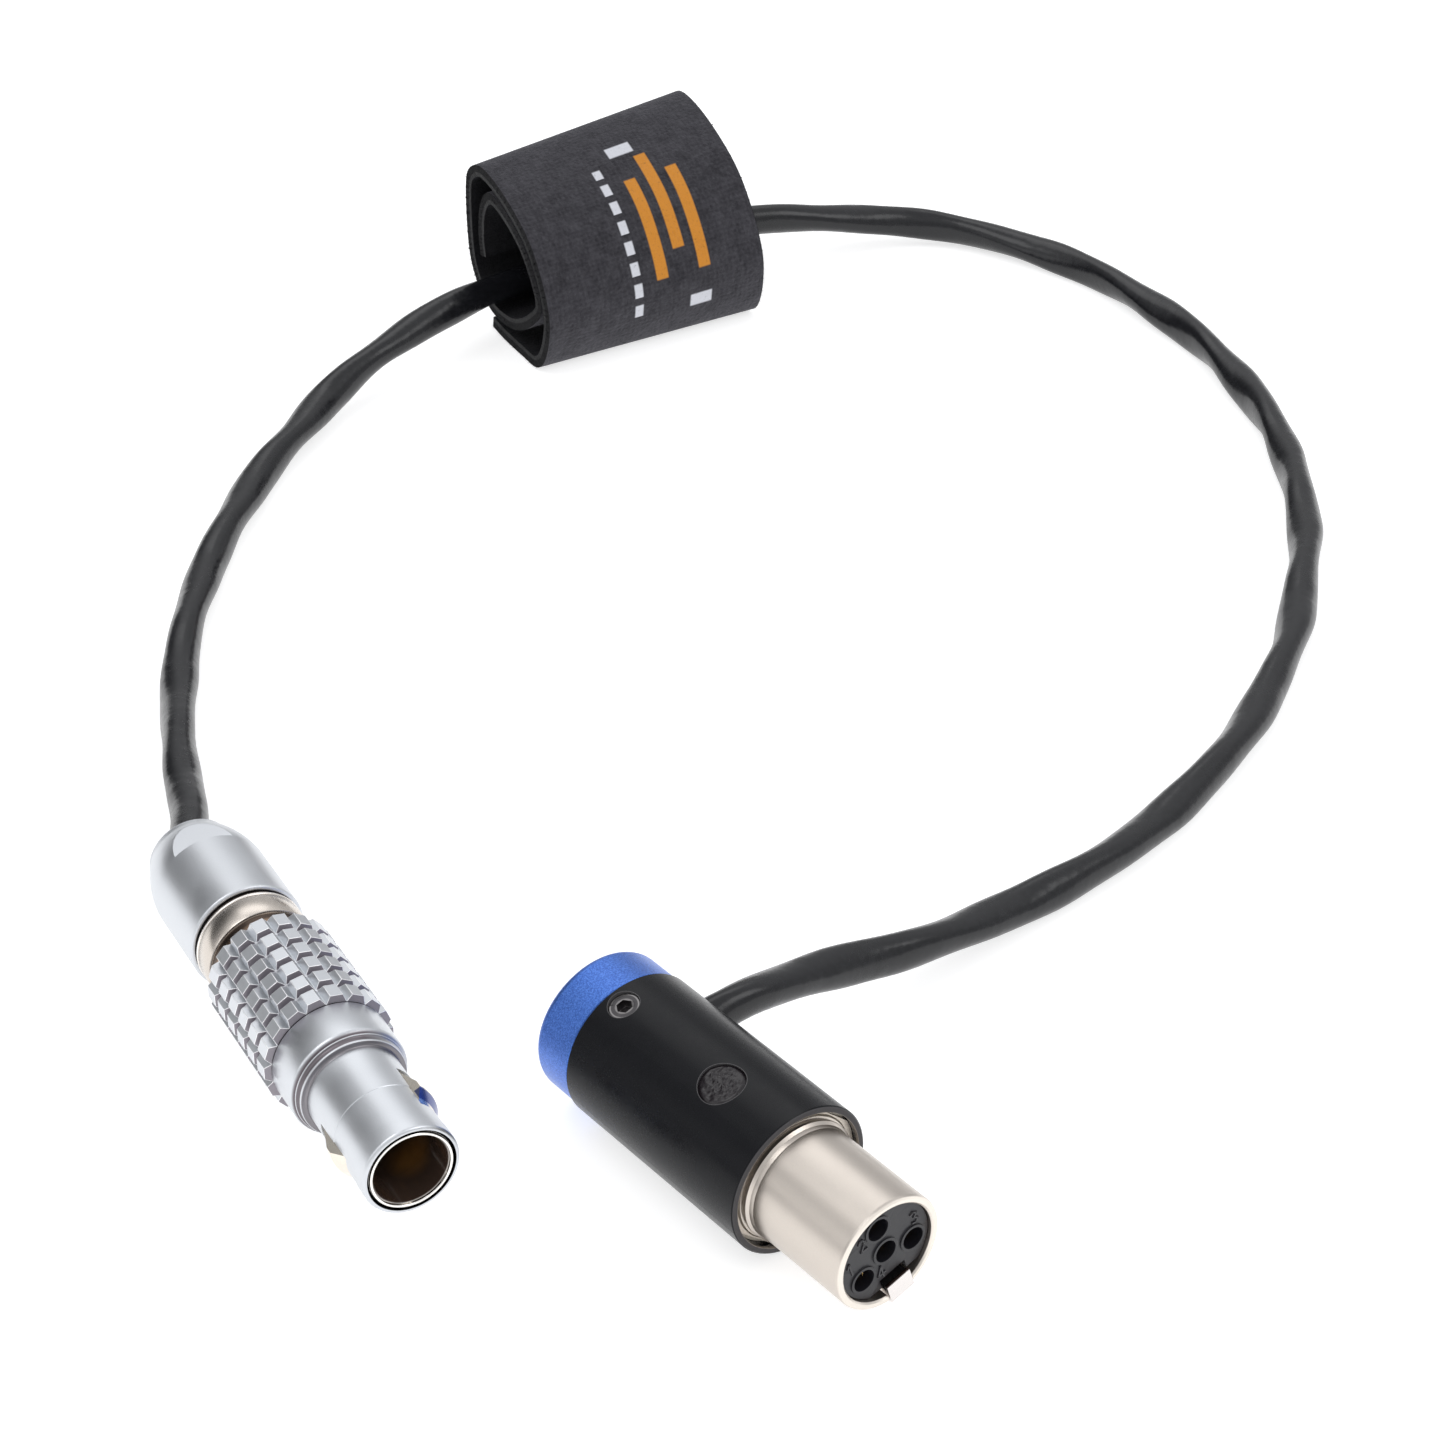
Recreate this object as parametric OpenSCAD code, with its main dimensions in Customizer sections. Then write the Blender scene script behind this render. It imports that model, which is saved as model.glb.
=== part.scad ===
// Short adapter cable: a push-pull circular plug at one end, a low-profile
// right-angle four-way mini connector at the other, and a rolled
// hook-and-loop strap around the cable loop. Millimetres, +Z up.
// Each connector is drawn along its own axis: s runs rearward from its
// front rim along local +Z, and local +Y points up when it lies level.

/* [Push-pull plug] */
// Outer diameter of the nose tube
plug_nose_d = 7.1; // [6.9:0.1:7.4]
// Length of the nose tube, front rim to shoulder
plug_nose_len = 9.2; // [8.6:0.1:10]
// Wall of the nose tube
plug_nose_wall = 0.3; // [0.25:0.05:0.35]
// Diameter of the smooth collar behind the shoulder
plug_collar_d = 8.8; // [8.6:0.1:9.2]
// Length from the shoulder to the knurled grip
plug_collar_len = 4.75; // [4.4:0.05:5.5]
// Diameter over the grip pads
plug_grip_d = 9.8; // [9.6:0.1:10.4]
// Number of turned rings of pads on the grip
plug_grip_rings = 6; // [5:1:7]
// Pitch of the pad rings along the grip
plug_grip_pitch = 1.84; // [1.7:0.02:2]
// Number of pads around the grip
plug_grip_columns = 18; // [14:1:20]
// Depth of the grooves between pads
plug_groove_depth = 0.48; // [0.3:0.02:0.5]
// Width of a groove at the pad tops
plug_groove_w = 0.62; // [0.5:0.02:0.8]
// Diameter of the neck on which the release sleeve runs
plug_neck_d = 8.0; // [7.8:0.05:8.1]
// Diameter of the bright ring in front of the nut
plug_ring_d = 8.36; // [8.2:0.02:8.6]
// Length of the bright ring
plug_ring_len = 2.85; // [2.4:0.05:3.5]
// Diameter of the collet nut
plug_nut_d = 8.86; // [8.6:0.02:9.2]
// Length of the collet nut
plug_nut_len = 13.4; // [12.5:0.1:15]
// Length of the tapered rear part of the nut
plug_nut_taper_len = 5.2; // [4:0.1:6]
// Diameter of the nut at its rear end
plug_nut_rear_d = 6.5; // [6:0.1:7]
// Size across the two wrench flats of the nut
plug_nut_flats = 7.58; // [7:0.02:8]
// Rearward travel of the release sleeve
plug_release_travel = 1.3; // [1:0.1:1.4]

/* [Plug latch and contacts] */
// Width of a latch finger
latch_w = 2.9; // [2.4:0.1:3.2]
// Diameter over the two latch hooks
latch_over_d = 8.04; // [7.8:0.02:8.2]
// Thickness of a latch finger's arm
latch_t = 0.2; // [0.15:0.01:0.24]
// Angle of the first latch finger from the top
latch_turn = 65; // [40:1:80]
// Bore of the guide sleeve's front lip
plug_core_d = 5.48; // [5.4:0.02:5.6]
// Number of contact pins
plug_pin_count = 5; // [3:1:5]
// Diameter of the circle on which the pins stand
plug_pin_circle_d = 2.6; // [2.4:0.1:2.8]
// Diameter of a contact pin
plug_pin_d = 0.7; // [0.5:0.05:0.8]

/* [Right-angle connector] */
// Outer diameter of the nickel barrel
barrel_d = 8.66; // [8.4:0.02:8.9]
// Wall of the barrel at its rim
barrel_wall = 0.58; // [0.45:0.01:0.6]
// Length of the barrel in front of the housing
barrel_len = 9.1; // [8.5:0.1:10]
// Outer diameter of the housing tube
housing_d = 11.4; // [11.2:0.1:12]
// Wall of the housing tube
housing_wall = 0.48; // [0.4:0.02:0.5]
// Length of the housing tube
housing_len = 18.3; // [18:0.1:20]
// Diameter of the end cap
cap_d = 11.1; // [11:0.02:11.4]
// Visible length of the end cap
cap_len = 3.75; // [3.5:0.05:5]
// Radius of the end cap's rear edge
cap_edge_r = 0.6; // [0.3:0.05:1]
// Gap between the contact insert and the barrel's bore
insert_gap = 0.05; // [0.04:0.01:0.1]
// Depth of the insert's face behind the rim
insert_depth = 0.4; // [0.2:0.05:0.8]
// Diameter of the circle of outer sockets
socket_circle_d = 4.7; // [4.4:0.1:4.8]
// Diameter of a socket hole in the insert
socket_hole_d = 1.65; // [1.6:0.01:1.8]
// Bore of a socket contact
socket_bore_d = 1.0; // [0.8:0.05:1.1]
// Angle between the top socket and each side socket
socket_spread = 112; // [105:1:120]
// Width of the latch tab
tab_w = 2.0; // [1.8:0.1:2.4]
// Width of the keyway around the tab
keyway_w = 4.5; // [4:0.1:5]
// Distance of the fixing screw from the front rim
fixing_at = 15.15; // [14.5:0.05:15.5]
// Diameter of the fixing screw
fixing_d = 3.3; // [2.8:0.1:3.5]
// Distance of the grub screw from the housing's rear end
grub_at = 1.5; // [1.4:0.05:1.9]
// Diameter of the grub screw
grub_d = 2.2; // [1.8:0.1:2.3]
// Angle of the cable outlet from the top of the connector
outlet_turn = 98; // [90:1:100]

/* [Cable] */
// Mean diameter of the cable
cable_d = 2.95; // [2.7:0.05:3]

/* [Strap] */
// Width of the strap
strap_w = 24.3; // [20:0.1:28]
// Thickness of the strap's loop face
strap_loop_t = 0.72; // [0.5:0.02:0.74]
// Thickness of the strap's hook face
strap_hook_t = 0.44; // [0.3:0.02:0.46]
// Growth of the roll's height from its near end to its far end
strap_rise = 0.08; // [0:0.01:0.1]
// Growth of the roll's breadth from its near end to its far end
strap_widen = 0.04; // [0:0.01:0.06]
// Lean of the roll's far end, sideways for each unit of height
strap_lean = 0.15; // [0.1:0.01:0.18]

/* [Layout] */
// Plug front rim, place in X
plug_x = -5.92; // [-7:0.01:-5]
// Plug front rim, place in Y
plug_y = -69.24; // [-70:0.01:-66]
// Direction in which the plug points
plug_heading = -61.73; // [-64:0.01:-59]
// Right-angle connector front rim, place in X
conn_x = 25.6; // [24:0.01:27]
// Right-angle connector front rim, place in Y
conn_y = -78.3; // [-79:0.01:-75]
// Direction in which the right-angle connector points
conn_heading = -51.43; // [-54:0.01:-49]
// Roll of the right-angle connector about its axis
conn_roll = -18; // [-25:1:-10]
// Strap's lower corner, place in X
strap_x = -2.95; // [-4:0.01:-2]
// Strap's lower corner, place in Y
strap_y = 53.87; // [53:0.01:56]
// Direction of the strap's axis
strap_heading = 30.3; // [29:0.1:32]

/* [Hidden] */

// Facets of a full turn on visible and on small round pieces
round_fn = 72;
small_fn = 28;
// Clearances: seated pieces of one body, and pieces that run in each other
seat = 0.03;
run = 0.07;
// Overshoot of a cutting tool past the face it cuts
cut = 0.4;

// Plug: stations along the axis
nose_step_at = 1.45;
nose_waist_at = 5;
shoulder_len = 1.6;
grip_at = plug_nose_len + plug_collar_len;
grip_end_w = 0.18;
grip_len = plug_grip_rings * plug_grip_pitch - plug_groove_w + 2 * grip_end_w + 0.2;
grip_rear = grip_at + grip_len;
neck_end = grip_rear + plug_release_travel + 0.15;
ring_end = neck_end + plug_ring_len;
nut_at = ring_end + 0.05;
nut_rear = nut_at + plug_nut_len;
nut_taper_at = nut_rear - plug_nut_taper_len;
// Plug: radii
nose_r = plug_nose_d / 2;
nose_bore_r = nose_r - plug_nose_wall;
collar_r = plug_collar_d / 2;
grip_r = plug_grip_d / 2;
grip_root_r = grip_r - plug_groove_depth;
neck_r = plug_neck_d / 2;
ring_r = plug_ring_d / 2;
nut_r = plug_nut_d / 2;
plug_z = grip_r;
// Plug: inner stations, from the release travel
shell_step_at = plug_nose_len + 1;
neck_overlap = 5;
neck_at = grip_rear - neck_overlap;
shell_land_at = neck_at - plug_release_travel - 0.2;
mid_bore_r = nose_bore_r + 0.35;
guide_r = nose_bore_r - run;
guide_mid_r = mid_bore_r - run;
guide_mid_at = shell_step_at + plug_release_travel + 0.2;
guide_bore_r = plug_core_d / 2 + 0.18;
guide_tail_r = guide_mid_r - 0.08;
guide_tail_bore_r = guide_tail_r - 0.3;
guide_rear = neck_at + 3.5;
// Plug: latch fingers, hinged at their root
finger_at = 3.4;
finger_peak_at = 4.6;
finger_heel_at = 6.8;
finger_hinge_at = 13.6;
finger_rear = 14;
finger_r = guide_r - 0.04;
finger_front_r = finger_r + 0.22;
finger_over_r = latch_over_d / 2;
finger_gap = 0.12;
finger_tilt = 5;
window_at = finger_at - 0.4;
window_end = finger_heel_at + 0.4;
// Plug: insulator and contacts
insulator_at = 7.4;
insulator_end = neck_at + 2.5;
insulator_step_at = finger_rear + 0.2;
pin_front = 5.2;
cup_at = insulator_end;
cup_end = cup_at + 2.2;
cup_r = plug_pin_d / 2 + 0.12;
carrier_at = finger_rear + 1;
carrier_end = guide_rear + 2;
carrier_r = guide_tail_bore_r - seat;
// Plug: front of the insulator, clear of the fingers when they tilt inward
finger_dip = (finger_hinge_at - insulator_at) * tan(finger_tilt);
insulator_nose_r = finger_r - latch_t - finger_dip - 0.15;
// Plug: rear body, collet and nut
spigot_r = neck_r - 0.7;
spigot_len = 5.2;
spigot_end = nut_at + spigot_len;
spigot_bore_r = spigot_r - 0.6;
collet_at = spigot_end + 0.1;
collet_cone_at = collet_at + 2.4;
collet_end = collet_cone_at + 3;
collet_r = spigot_r - 0.3;
collet_nose_r = cable_d / 2 + 0.6;
nut_mouth_r = cable_d / 2 + 0.12;
cable_from = collet_at - 1;
// Plug: bow of the nut's tapered part, an arc between its two ends
nut_bow_r = 40;
nut_end_len = 0.5;
nut_bow_from = [nut_r, nut_taper_at];
nut_bow_to = [plug_nut_rear_d / 2 + 0.15, nut_rear - nut_end_len];
nut_bow_v = (nut_bow_to - nut_bow_from) / norm(nut_bow_to - nut_bow_from);
nut_bow_h = sqrt(pow(nut_bow_r, 2) - pow(norm(nut_bow_to - nut_bow_from) / 2, 2));
nut_bow_centre = (nut_bow_from + nut_bow_to) / 2 + nut_bow_h * [-nut_bow_v[1], nut_bow_v[0]];

// Right-angle connector: stations along the axis
housing_at = barrel_len;
housing_end = housing_at + housing_len;
cap_at = housing_end + 0.1;
cap_end = cap_at + cap_len;
lip_depth = 0.55;
flange_at = housing_at + lip_depth + 0.35;
flange_end = flange_at + 1;
tail_end = fixing_at + 1.3;
insert_end = tail_end + 0.4;
cap_spigot_len = 4.2;
spigot_at = cap_at - cap_spigot_len;
outlet_at = housing_end - 2;
grub_s = housing_end - grub_at;
// Right-angle connector: radii
barrel_r = barrel_d / 2;
barrel_bore_r = barrel_r - barrel_wall;
housing_r = housing_d / 2;
housing_bore_r = housing_r - housing_wall;
cap_r = cap_d / 2;
cap_spigot_r = housing_bore_r - seat;
cap_wall = 1.1;
tail_r = housing_bore_r - 0.62;
insert_r = barrel_bore_r - insert_gap;
socket_r = socket_circle_d / 2;
socket_hole_r = socket_hole_d / 2;
contact_r = socket_hole_r - seat;
contact_at = insert_depth + 1.7;
contact_bore_len = 5.5;
contact_end = insert_end + 2.5;
outlet_r = cable_d / 2 + 0.17;
conn_z = housing_r;
// Right-angle connector: room between the barrel and the housing, shared by steps and rings
flare_r = housing_bore_r - barrel_r;
function flared(share) = barrel_r + share * flare_r;
ring_inner_r = flared(0.47) + seat;
SOCKETS = [[0, 0], for (a = [0, socket_spread, -socket_spread]) [socket_r, a]];
// Right-angle connector: latch tab
tab_t = 0.36;
tab_inner_r = barrel_bore_r - 0.58;
tab_hook_r = barrel_r + 0.21;
tab_hook_len = 0.9;
tab_button_at = 5.2;
tab_button_len = 2;
tab_button_r = barrel_r + 0.17;
tab_hinge_at = 8.5;
tab_end = 8.6;
tab_gap = 0.08;
keyway_r = tab_inner_r - 0.17;
keyway_deep_r = tab_inner_r - 0.92;
keyway_len = 9.2;
// Crimp ring on the cable inside the housing
crimp_at = 2.4;
crimp_len = 1.1;
crimp_r = cable_d / 2 + 0.45;

// Strap centreline seen along its axis, from its outer end to its inner end
STRAP_LAY = [
    [9.6, 1.15], [7.4, 0.85], [5.3, 0.75], [3.0, 0.7], [0.9, 0.7], [-0.5, 1.6],
    [-1.6, 3.9], [-1.9, 6.8], [-0.4, 10.3], [2.2, 13.3], [6.8, 15.7], [10.9, 16.6],
    [13.1, 15.7], [13.9, 13.9], [14.0, 9.6], [13.5, 6.3], [11.9, 4.0], [9.4, 2.7],
    [6.6, 2.6], [4.2, 3.2], [1.6, 4.8], [-0.35, 7.0], [0.9, 9.8], [3.2, 12.3],
    [6.7, 14.1], [9.4, 14.5], [11.0, 12.7], [11.5, 9.8], [11.2, 7.6]
];
strap_steps = 4;
strap_t = strap_loop_t + strap_hook_t;

// Route of the cable between the two outlets, lying on the surface where low
CABLE_LAY = [
    [-27.0, -26.7, 4.0], [-27.8, -22.8, 3.4], [-28.4, -18.6, 2.9], [-29.6, -10.5, 2.1],
    [-30.3, -2.6, 1.6], [-30.7, 5.0, 1.5], [-30.5, 10.6, 1.5], [-29.8, 17.2, 1.5],
    [-28.7, 24.6, 1.5], [-26.8, 32.4, 1.6], [-23.4, 41.8, 2.1], [-21.4, 45.8, 2.6],
    [-19.2, 49.2, 3.3], [-16.7, 52.0, 4.1], [-13.1, 55.6, 4.9], [-7.6, 61.1, 5.2],
    [-1.0, 65.8, 5.3], [5.5, 70.3, 5.3], [12.7, 74.6, 5.3], [18.7, 77.1, 5.1],
    [25.4, 79.7, 4.0], [30.4, 81.5, 3.0], [35.3, 82.3, 2.2], [40.1, 81.4, 1.7],
    [44.7, 79.1, 1.5], [49.1, 75.6, 1.5], [53.2, 71.2, 1.5], [56.9, 66.0, 1.5],
    [60.2, 60.1, 1.5], [63.0, 53.5, 1.5], [65.1, 46.2, 1.5], [66.6, 38.4, 1.5],
    [67.0, 30.0, 1.5], [66.9, 23.6, 1.5], [66.1, 17.3, 1.5], [63.7, 5.5, 1.5],
    [60.1, -5.0, 1.5], [55.8, -13.8, 1.5], [51.0, -21.3, 1.5], [46.0, -27.3, 1.5],
    [42.1, -31.3, 1.6], [38.2, -34.7, 1.8], [34.7, -37.6, 2.2], [31.2, -40.6, 2.8],
    [27.7, -43.4, 3.5], [24.3, -45.9, 4.4], [21.7, -48.2, 5.4], [18.4, -51.2, 6.4],
    [15.8, -53.1, 6.9]
];
cable_sides = 8;

// Directions of a connector lying level: rearward, and its right side seen from behind
function rearward(heading) = [-cos(heading), -sin(heading), 0];
function level_side(heading) = [-sin(heading), cos(heading), 0];
// A point on the plug's axis, and a point on the connector's outlet axis
function plug_point(s) = [plug_x, plug_y, plug_z] + s * rearward(plug_heading);
function outlet_dir() =
    level_side(conn_heading) * sin(outlet_turn + conn_roll) + [0, 0, cos(outlet_turn + conn_roll)];
function outlet_point(r) = [conn_x, conn_y, conn_z] + outlet_at * rearward(conn_heading) + r * outlet_dir();
CABLE_ROUTE = concat(
    [plug_point(cable_from), plug_point(nut_rear - 2), plug_point(nut_rear + 0.4)],
    CABLE_LAY,
    [outlet_point(housing_r + 0.2), outlet_point(crimp_at)]
);

function unit(v) = v / norm(v);
// A point on a smooth curve through p1 and p2, with p0 and p3 beyond them
function curve_point(p0, p1, p2, p3, t) =
    0.5 * (2 * p1 + (p2 - p0) * t + (2 * p0 - 5 * p1 + 4 * p2 - p3) * t * t
    + (3 * p1 - p0 - 3 * p2 + p3) * t * t * t);
function curve(p, steps) = [
    for (i = [0 : len(p) - 2], k = [0 : steps - 1])
        curve_point(p[max(i - 1, 0)], p[i], p[i + 1], p[min(i + 2, len(p) - 1)], k / steps),
    p[len(p) - 1]
];
function tangent(p, i) = unit(p[min(i + 1, len(p) - 1)] - p[max(i - 1, 0)]);
// The curve p moved sideways by d, to its left
function beside(p, d) = [
    for (i = [0 : len(p) - 1]) p[i] + d * [-tangent(p, i)[1], tangent(p, i)[0]]
];

// Puts a connector drawn along +Z at its place, its axis level
module lay_level(x, y, z, heading) {
    translate([x, y, z]) rotate([90, 0, heading - 90]) children();
}

module at_plug() {
    lay_level(plug_x, plug_y, plug_z, plug_heading) children();
}

module at_conn() {
    lay_level(conn_x, conn_y, conn_z, conn_heading) rotate([0, 0, conn_roll]) children();
}

// A body of revolution about the axis from [radius, station] points
module turned(points, fn = round_fn) {
    rotate_extrude($fn = fn) polygon(points);
}

// A straight bore or bar between two stations
module bar(r, from, to, fn = round_fn) {
    translate([0, 0, from]) cylinder(r = r, h = to - from, $fn = fn);
}

// A straight round rod between two points
module rod(from, to, r) {
    v = to - from;
    translate(from) rotate([0, acos(v[2] / norm(v)), atan2(v[1], v[0])])
        cylinder(r = r, h = norm(v), $fn = small_fn);
}

// A tool that points outward along +Y from the axis, at a station and an angle
module radial(s, angle, from, to, r, fn = small_fn) {
    rotate([0, 0, angle]) translate([0, from, s])
        rotate([-90, 0, 0]) cylinder(r = r, h = to - from, $fn = fn);
}

// ---- Push-pull plug ----

// One turned groove between two rings of pads, with sloped sides
module grip_groove(s) {
    top = plug_groove_w / 2;
    foot = plug_groove_w / 8;
    turned([
        [grip_root_r, s - foot], [grip_r + cut, s - top - cut], [grip_r + cut, s + top + cut],
        [grip_root_r, s + foot]
    ]);
}

// One straight V-groove that parts two columns of pads
module grip_v_groove() {
    half = plug_groove_w * 0.6;
    translate([0, 0, grip_at - 0.01]) linear_extrude(grip_len + 0.02)
        polygon([
            [0, grip_root_r], [half * 2, grip_root_r + plug_groove_depth * 2],
            [-half * 2, grip_root_r + plug_groove_depth * 2]
        ]);
}

module plug_outer_shell() {
    color("lightsteelblue") at_plug() difference() {
        turned([
            [nose_bore_r, 0], [nose_r - 0.25, 0], [nose_r - 0.07, 0.08], [nose_r + 0.02, 0.3],
            [nose_r + 0.02, nose_step_at], [nose_r - 0.06, nose_step_at + 0.01],
            [nose_r - 0.04, nose_step_at + 0.6], [nose_r - 0.04, nose_waist_at],
            [nose_r, nose_waist_at], [nose_r, plug_nose_len], [nose_r + 0.3, plug_nose_len + 0.02],
            [nose_r + 0.42, plug_nose_len + 0.35], [nose_r + 0.36, plug_nose_len + 0.5],
            [nose_r + 0.5, plug_nose_len + 0.6], [collar_r - 0.18, plug_nose_len + shoulder_len * 0.75],
            [collar_r - 0.05, plug_nose_len + shoulder_len * 0.9], [collar_r, plug_nose_len + shoulder_len],
            [collar_r, grip_at], [grip_root_r, grip_at], [grip_r, grip_at + grip_end_w],
            [grip_r, grip_rear - grip_end_w], [grip_root_r, grip_rear],
            [neck_r + run, grip_rear], [neck_r + run, shell_land_at], [mid_bore_r, shell_land_at],
            [mid_bore_r, shell_step_at], [nose_bore_r, shell_step_at]
        ]);
        for (i = [1 : plug_grip_rings - 1])
            grip_groove(grip_at + grip_len / 2 + (i - plug_grip_rings / 2) * plug_grip_pitch);
        for (i = [0 : plug_grip_columns - 1])
            rotate([0, 0, i * 360 / plug_grip_columns]) grip_v_groove();
        for (a = [latch_turn, latch_turn + 180])
            rotate([0, 0, a])
                translate([-latch_w / 2 - finger_gap * 1.5, nose_bore_r - 1, window_at])
                    cube([latch_w + finger_gap * 3, 2, window_end - window_at]);
    }
}

// A latch finger: a thin arm with a ramped hook at its front
module latch_finger(angle) {
    color("silver") at_plug() rotate([0, 0, angle]) intersection() {
        turned([
            [finger_r - latch_t, finger_at], [finger_front_r, finger_at],
            [finger_over_r, finger_peak_at], [finger_over_r, finger_peak_at + 0.6],
            [finger_r + 0.35, finger_heel_at], [finger_r, finger_heel_at],
            [finger_r, finger_rear], [finger_r - latch_t, finger_rear]
        ]);
        translate([-latch_w / 2, 0, 0]) cube([latch_w, 2 * nose_r, grip_at + 1]);
    }
}

module plug_latch_right() {
    latch_finger(latch_turn);
}

module plug_latch_left() {
    latch_finger(latch_turn + 180);
}

module plug_guide_sleeve() {
    lip_end = window_at + 0.1;
    color("gainsboro") at_plug() difference() {
        turned([
            [plug_core_d / 2, 0.25], [guide_r - 0.12, 0.25], [guide_r, 0.37], [guide_r, guide_mid_at],
            [guide_mid_r, guide_mid_at], [guide_mid_r, neck_at], [guide_tail_r, neck_at],
            [guide_tail_r, guide_rear], [guide_tail_bore_r, guide_rear],
            [guide_tail_bore_r, carrier_at], [guide_bore_r, carrier_at],
            [guide_bore_r, lip_end], [plug_core_d / 2, lip_end]
        ]);
        rotate([0, 0, latch_turn])
            translate([-latch_w / 2 - finger_gap, -2 * nose_r, lip_end])
                cube([latch_w + 2 * finger_gap, 4 * nose_r, finger_rear + 0.3 - lip_end]);
    }
}

module plug_insulator() {
    r = guide_bore_r - seat;
    color("saddlebrown") at_plug() difference() {
        turned([
            [0, insulator_at], [insulator_nose_r - 0.1, insulator_at],
            [insulator_nose_r, insulator_at + 0.1], [insulator_nose_r, insulator_step_at],
            [r, insulator_step_at], [r, insulator_end], [0, insulator_end]
        ], 48);
        for (i = [0 : plug_pin_count - 1])
            rotate([0, 0, i * 360 / plug_pin_count]) translate([0, plug_pin_circle_d / 2, 0])
                bar(plug_pin_d / 2 + seat, insulator_at - cut, insulator_end + cut, small_fn);
        translate([0, 0, insulator_at - 0.01]) cylinder(r = 0.35, h = 0.8, $fn = small_fn);
    }
}

module plug_contacts() {
    color("gold") at_plug() for (i = [0 : plug_pin_count - 1])
        rotate([0, 0, i * 360 / plug_pin_count]) translate([0, plug_pin_circle_d / 2, 0])
            turned([
                [0, pin_front], [plug_pin_d / 4, pin_front], [plug_pin_d / 2, pin_front + 0.4],
                [plug_pin_d / 2, cup_at + seat], [cup_r, cup_at + seat], [cup_r, cup_end],
                [cup_r - 0.12, cup_end], [cup_r - 0.12, cup_at + 0.8], [0, cup_at + 0.8]
            ], small_fn);
}

// Half of the split carrier that holds the insulator
module carrier_half(angle) {
    slit = 0.1;
    color("silver") at_plug() rotate([0, 0, angle]) difference() {
        turned([
            [guide_bore_r, carrier_at], [carrier_r, carrier_at], [carrier_r, carrier_end],
            [guide_bore_r, carrier_end]
        ]);
        translate([-2 * carrier_r, -4 * carrier_r + slit / 2, carrier_at - cut])
            cube([4 * carrier_r, 4 * carrier_r, carrier_end - carrier_at + 2 * cut]);
    }
}

module plug_carrier_upper() {
    carrier_half(0);
}

module plug_carrier_lower() {
    carrier_half(180);
}

module plug_wires() {
    color("goldenrod") at_plug() for (i = [0 : plug_pin_count - 1])
        rotate([0, 0, i * 360 / plug_pin_count]) translate([0, plug_pin_circle_d / 2, 0])
            bar(cup_r - 0.15, cup_at + 0.9, cable_from, small_fn);
}

module plug_body() {
    color("wheat") at_plug() turned([
        [guide_tail_r + seat, neck_at], [neck_r - 0.15, neck_at], [neck_r, neck_at + 0.15],
        [neck_r, neck_end], [ring_r - 0.1, neck_end], [ring_r, neck_end + 0.1],
        [ring_r, ring_end - 0.1], [ring_r - 0.1, ring_end], [spigot_r, ring_end],
        [spigot_r, spigot_end], [spigot_bore_r, spigot_end], [spigot_bore_r, carrier_end + 0.6],
        [carrier_r + seat, carrier_end + 0.6], [carrier_r + seat, guide_rear + 0.1],
        [guide_tail_r + seat, guide_rear + 0.1]
    ]);
}

module plug_collet() {
    slit = 0.35;
    color("silver") at_plug() difference() {
        turned([
            [cable_d / 2 + seat, collet_at], [collet_r, collet_at], [collet_r, collet_cone_at],
            [collet_nose_r, collet_end], [cable_d / 2 + seat, collet_end]
        ], 48);
        for (a = [0, 120, 240])
            rotate([0, 0, a]) translate([-slit / 2, 0, collet_at + 0.9])
                cube([slit, 2 * collet_r, collet_end]);
    }
}

module plug_collet_nut() {
    rear_r = plug_nut_rear_d / 2;
    color("lightsteelblue") at_plug() difference() {
        rotate_extrude($fn = round_fn) intersection() {
            polygon([
                [spigot_r + seat, nut_at], [nut_r - 0.2, nut_at], [nut_r, nut_at + 0.2],
                [nut_r, nut_rear - nut_end_len], [rear_r + 0.1, nut_rear - nut_end_len],
                [rear_r, nut_rear - 0.2], [rear_r - 0.3, nut_rear], [nut_mouth_r + 0.35, nut_rear],
                [nut_mouth_r, nut_rear - 0.3], [nut_mouth_r, collet_end + seat],
                [collet_nose_r + seat, collet_end + seat], [collet_r + seat, collet_cone_at],
                [collet_r + seat, spigot_end + 0.05], [spigot_r + seat, spigot_end + 0.05]
            ]);
            translate(nut_bow_centre) circle(r = nut_bow_r, $fn = 360);
        }
        for (a = [-5, 175])
            rotate([0, 0, a]) translate([-nut_r, plug_nut_flats / 2, nut_taper_at - 1])
                cube([2 * nut_r, nut_r, plug_nut_taper_len + 2]);
    }
}

// ---- Cable ----

// A closed skin over rings of equally many points each
module skinned(rings) {
    n = len(rings);
    sides = len(rings[0]);
    skin = [
        for (i = [0 : n - 2], k = [0 : sides - 1])
            let (a = i * sides + k, b = i * sides + (k + 1) % sides)
                each k < sides / 2
                    ? [[a, b + sides, b], [a, a + sides, b + sides]]
                    : [[a, a + sides, b], [b, a + sides, b + sides]]
    ];
    polyhedron(
        [for (ring = rings) each ring],
        concat(skin, [[for (k = [0 : sides - 1]) k]],
            [[for (k = [sides - 1 : -1 : 0]) (n - 1) * sides + k]])
    );
}

// A tube of constant width with its rings square to the route
module tube(p, r, sides) {
    skinned([
        for (i = [0 : len(p) - 1])
            let (t = tangent(p, i), u = unit(cross([0, 0, 1], t)), v = cross(t, u))
                [for (k = [0 : sides - 1]) p[i] + r * (cos(k * 360 / sides) * u + sin(k * 360 / sides) * v)]
    ]);
}

module cable_jacket() {
    color("#1c1c1e") tube(CABLE_ROUTE, cable_d / 2, cable_sides);
}

// ---- Right-angle connector ----

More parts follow.
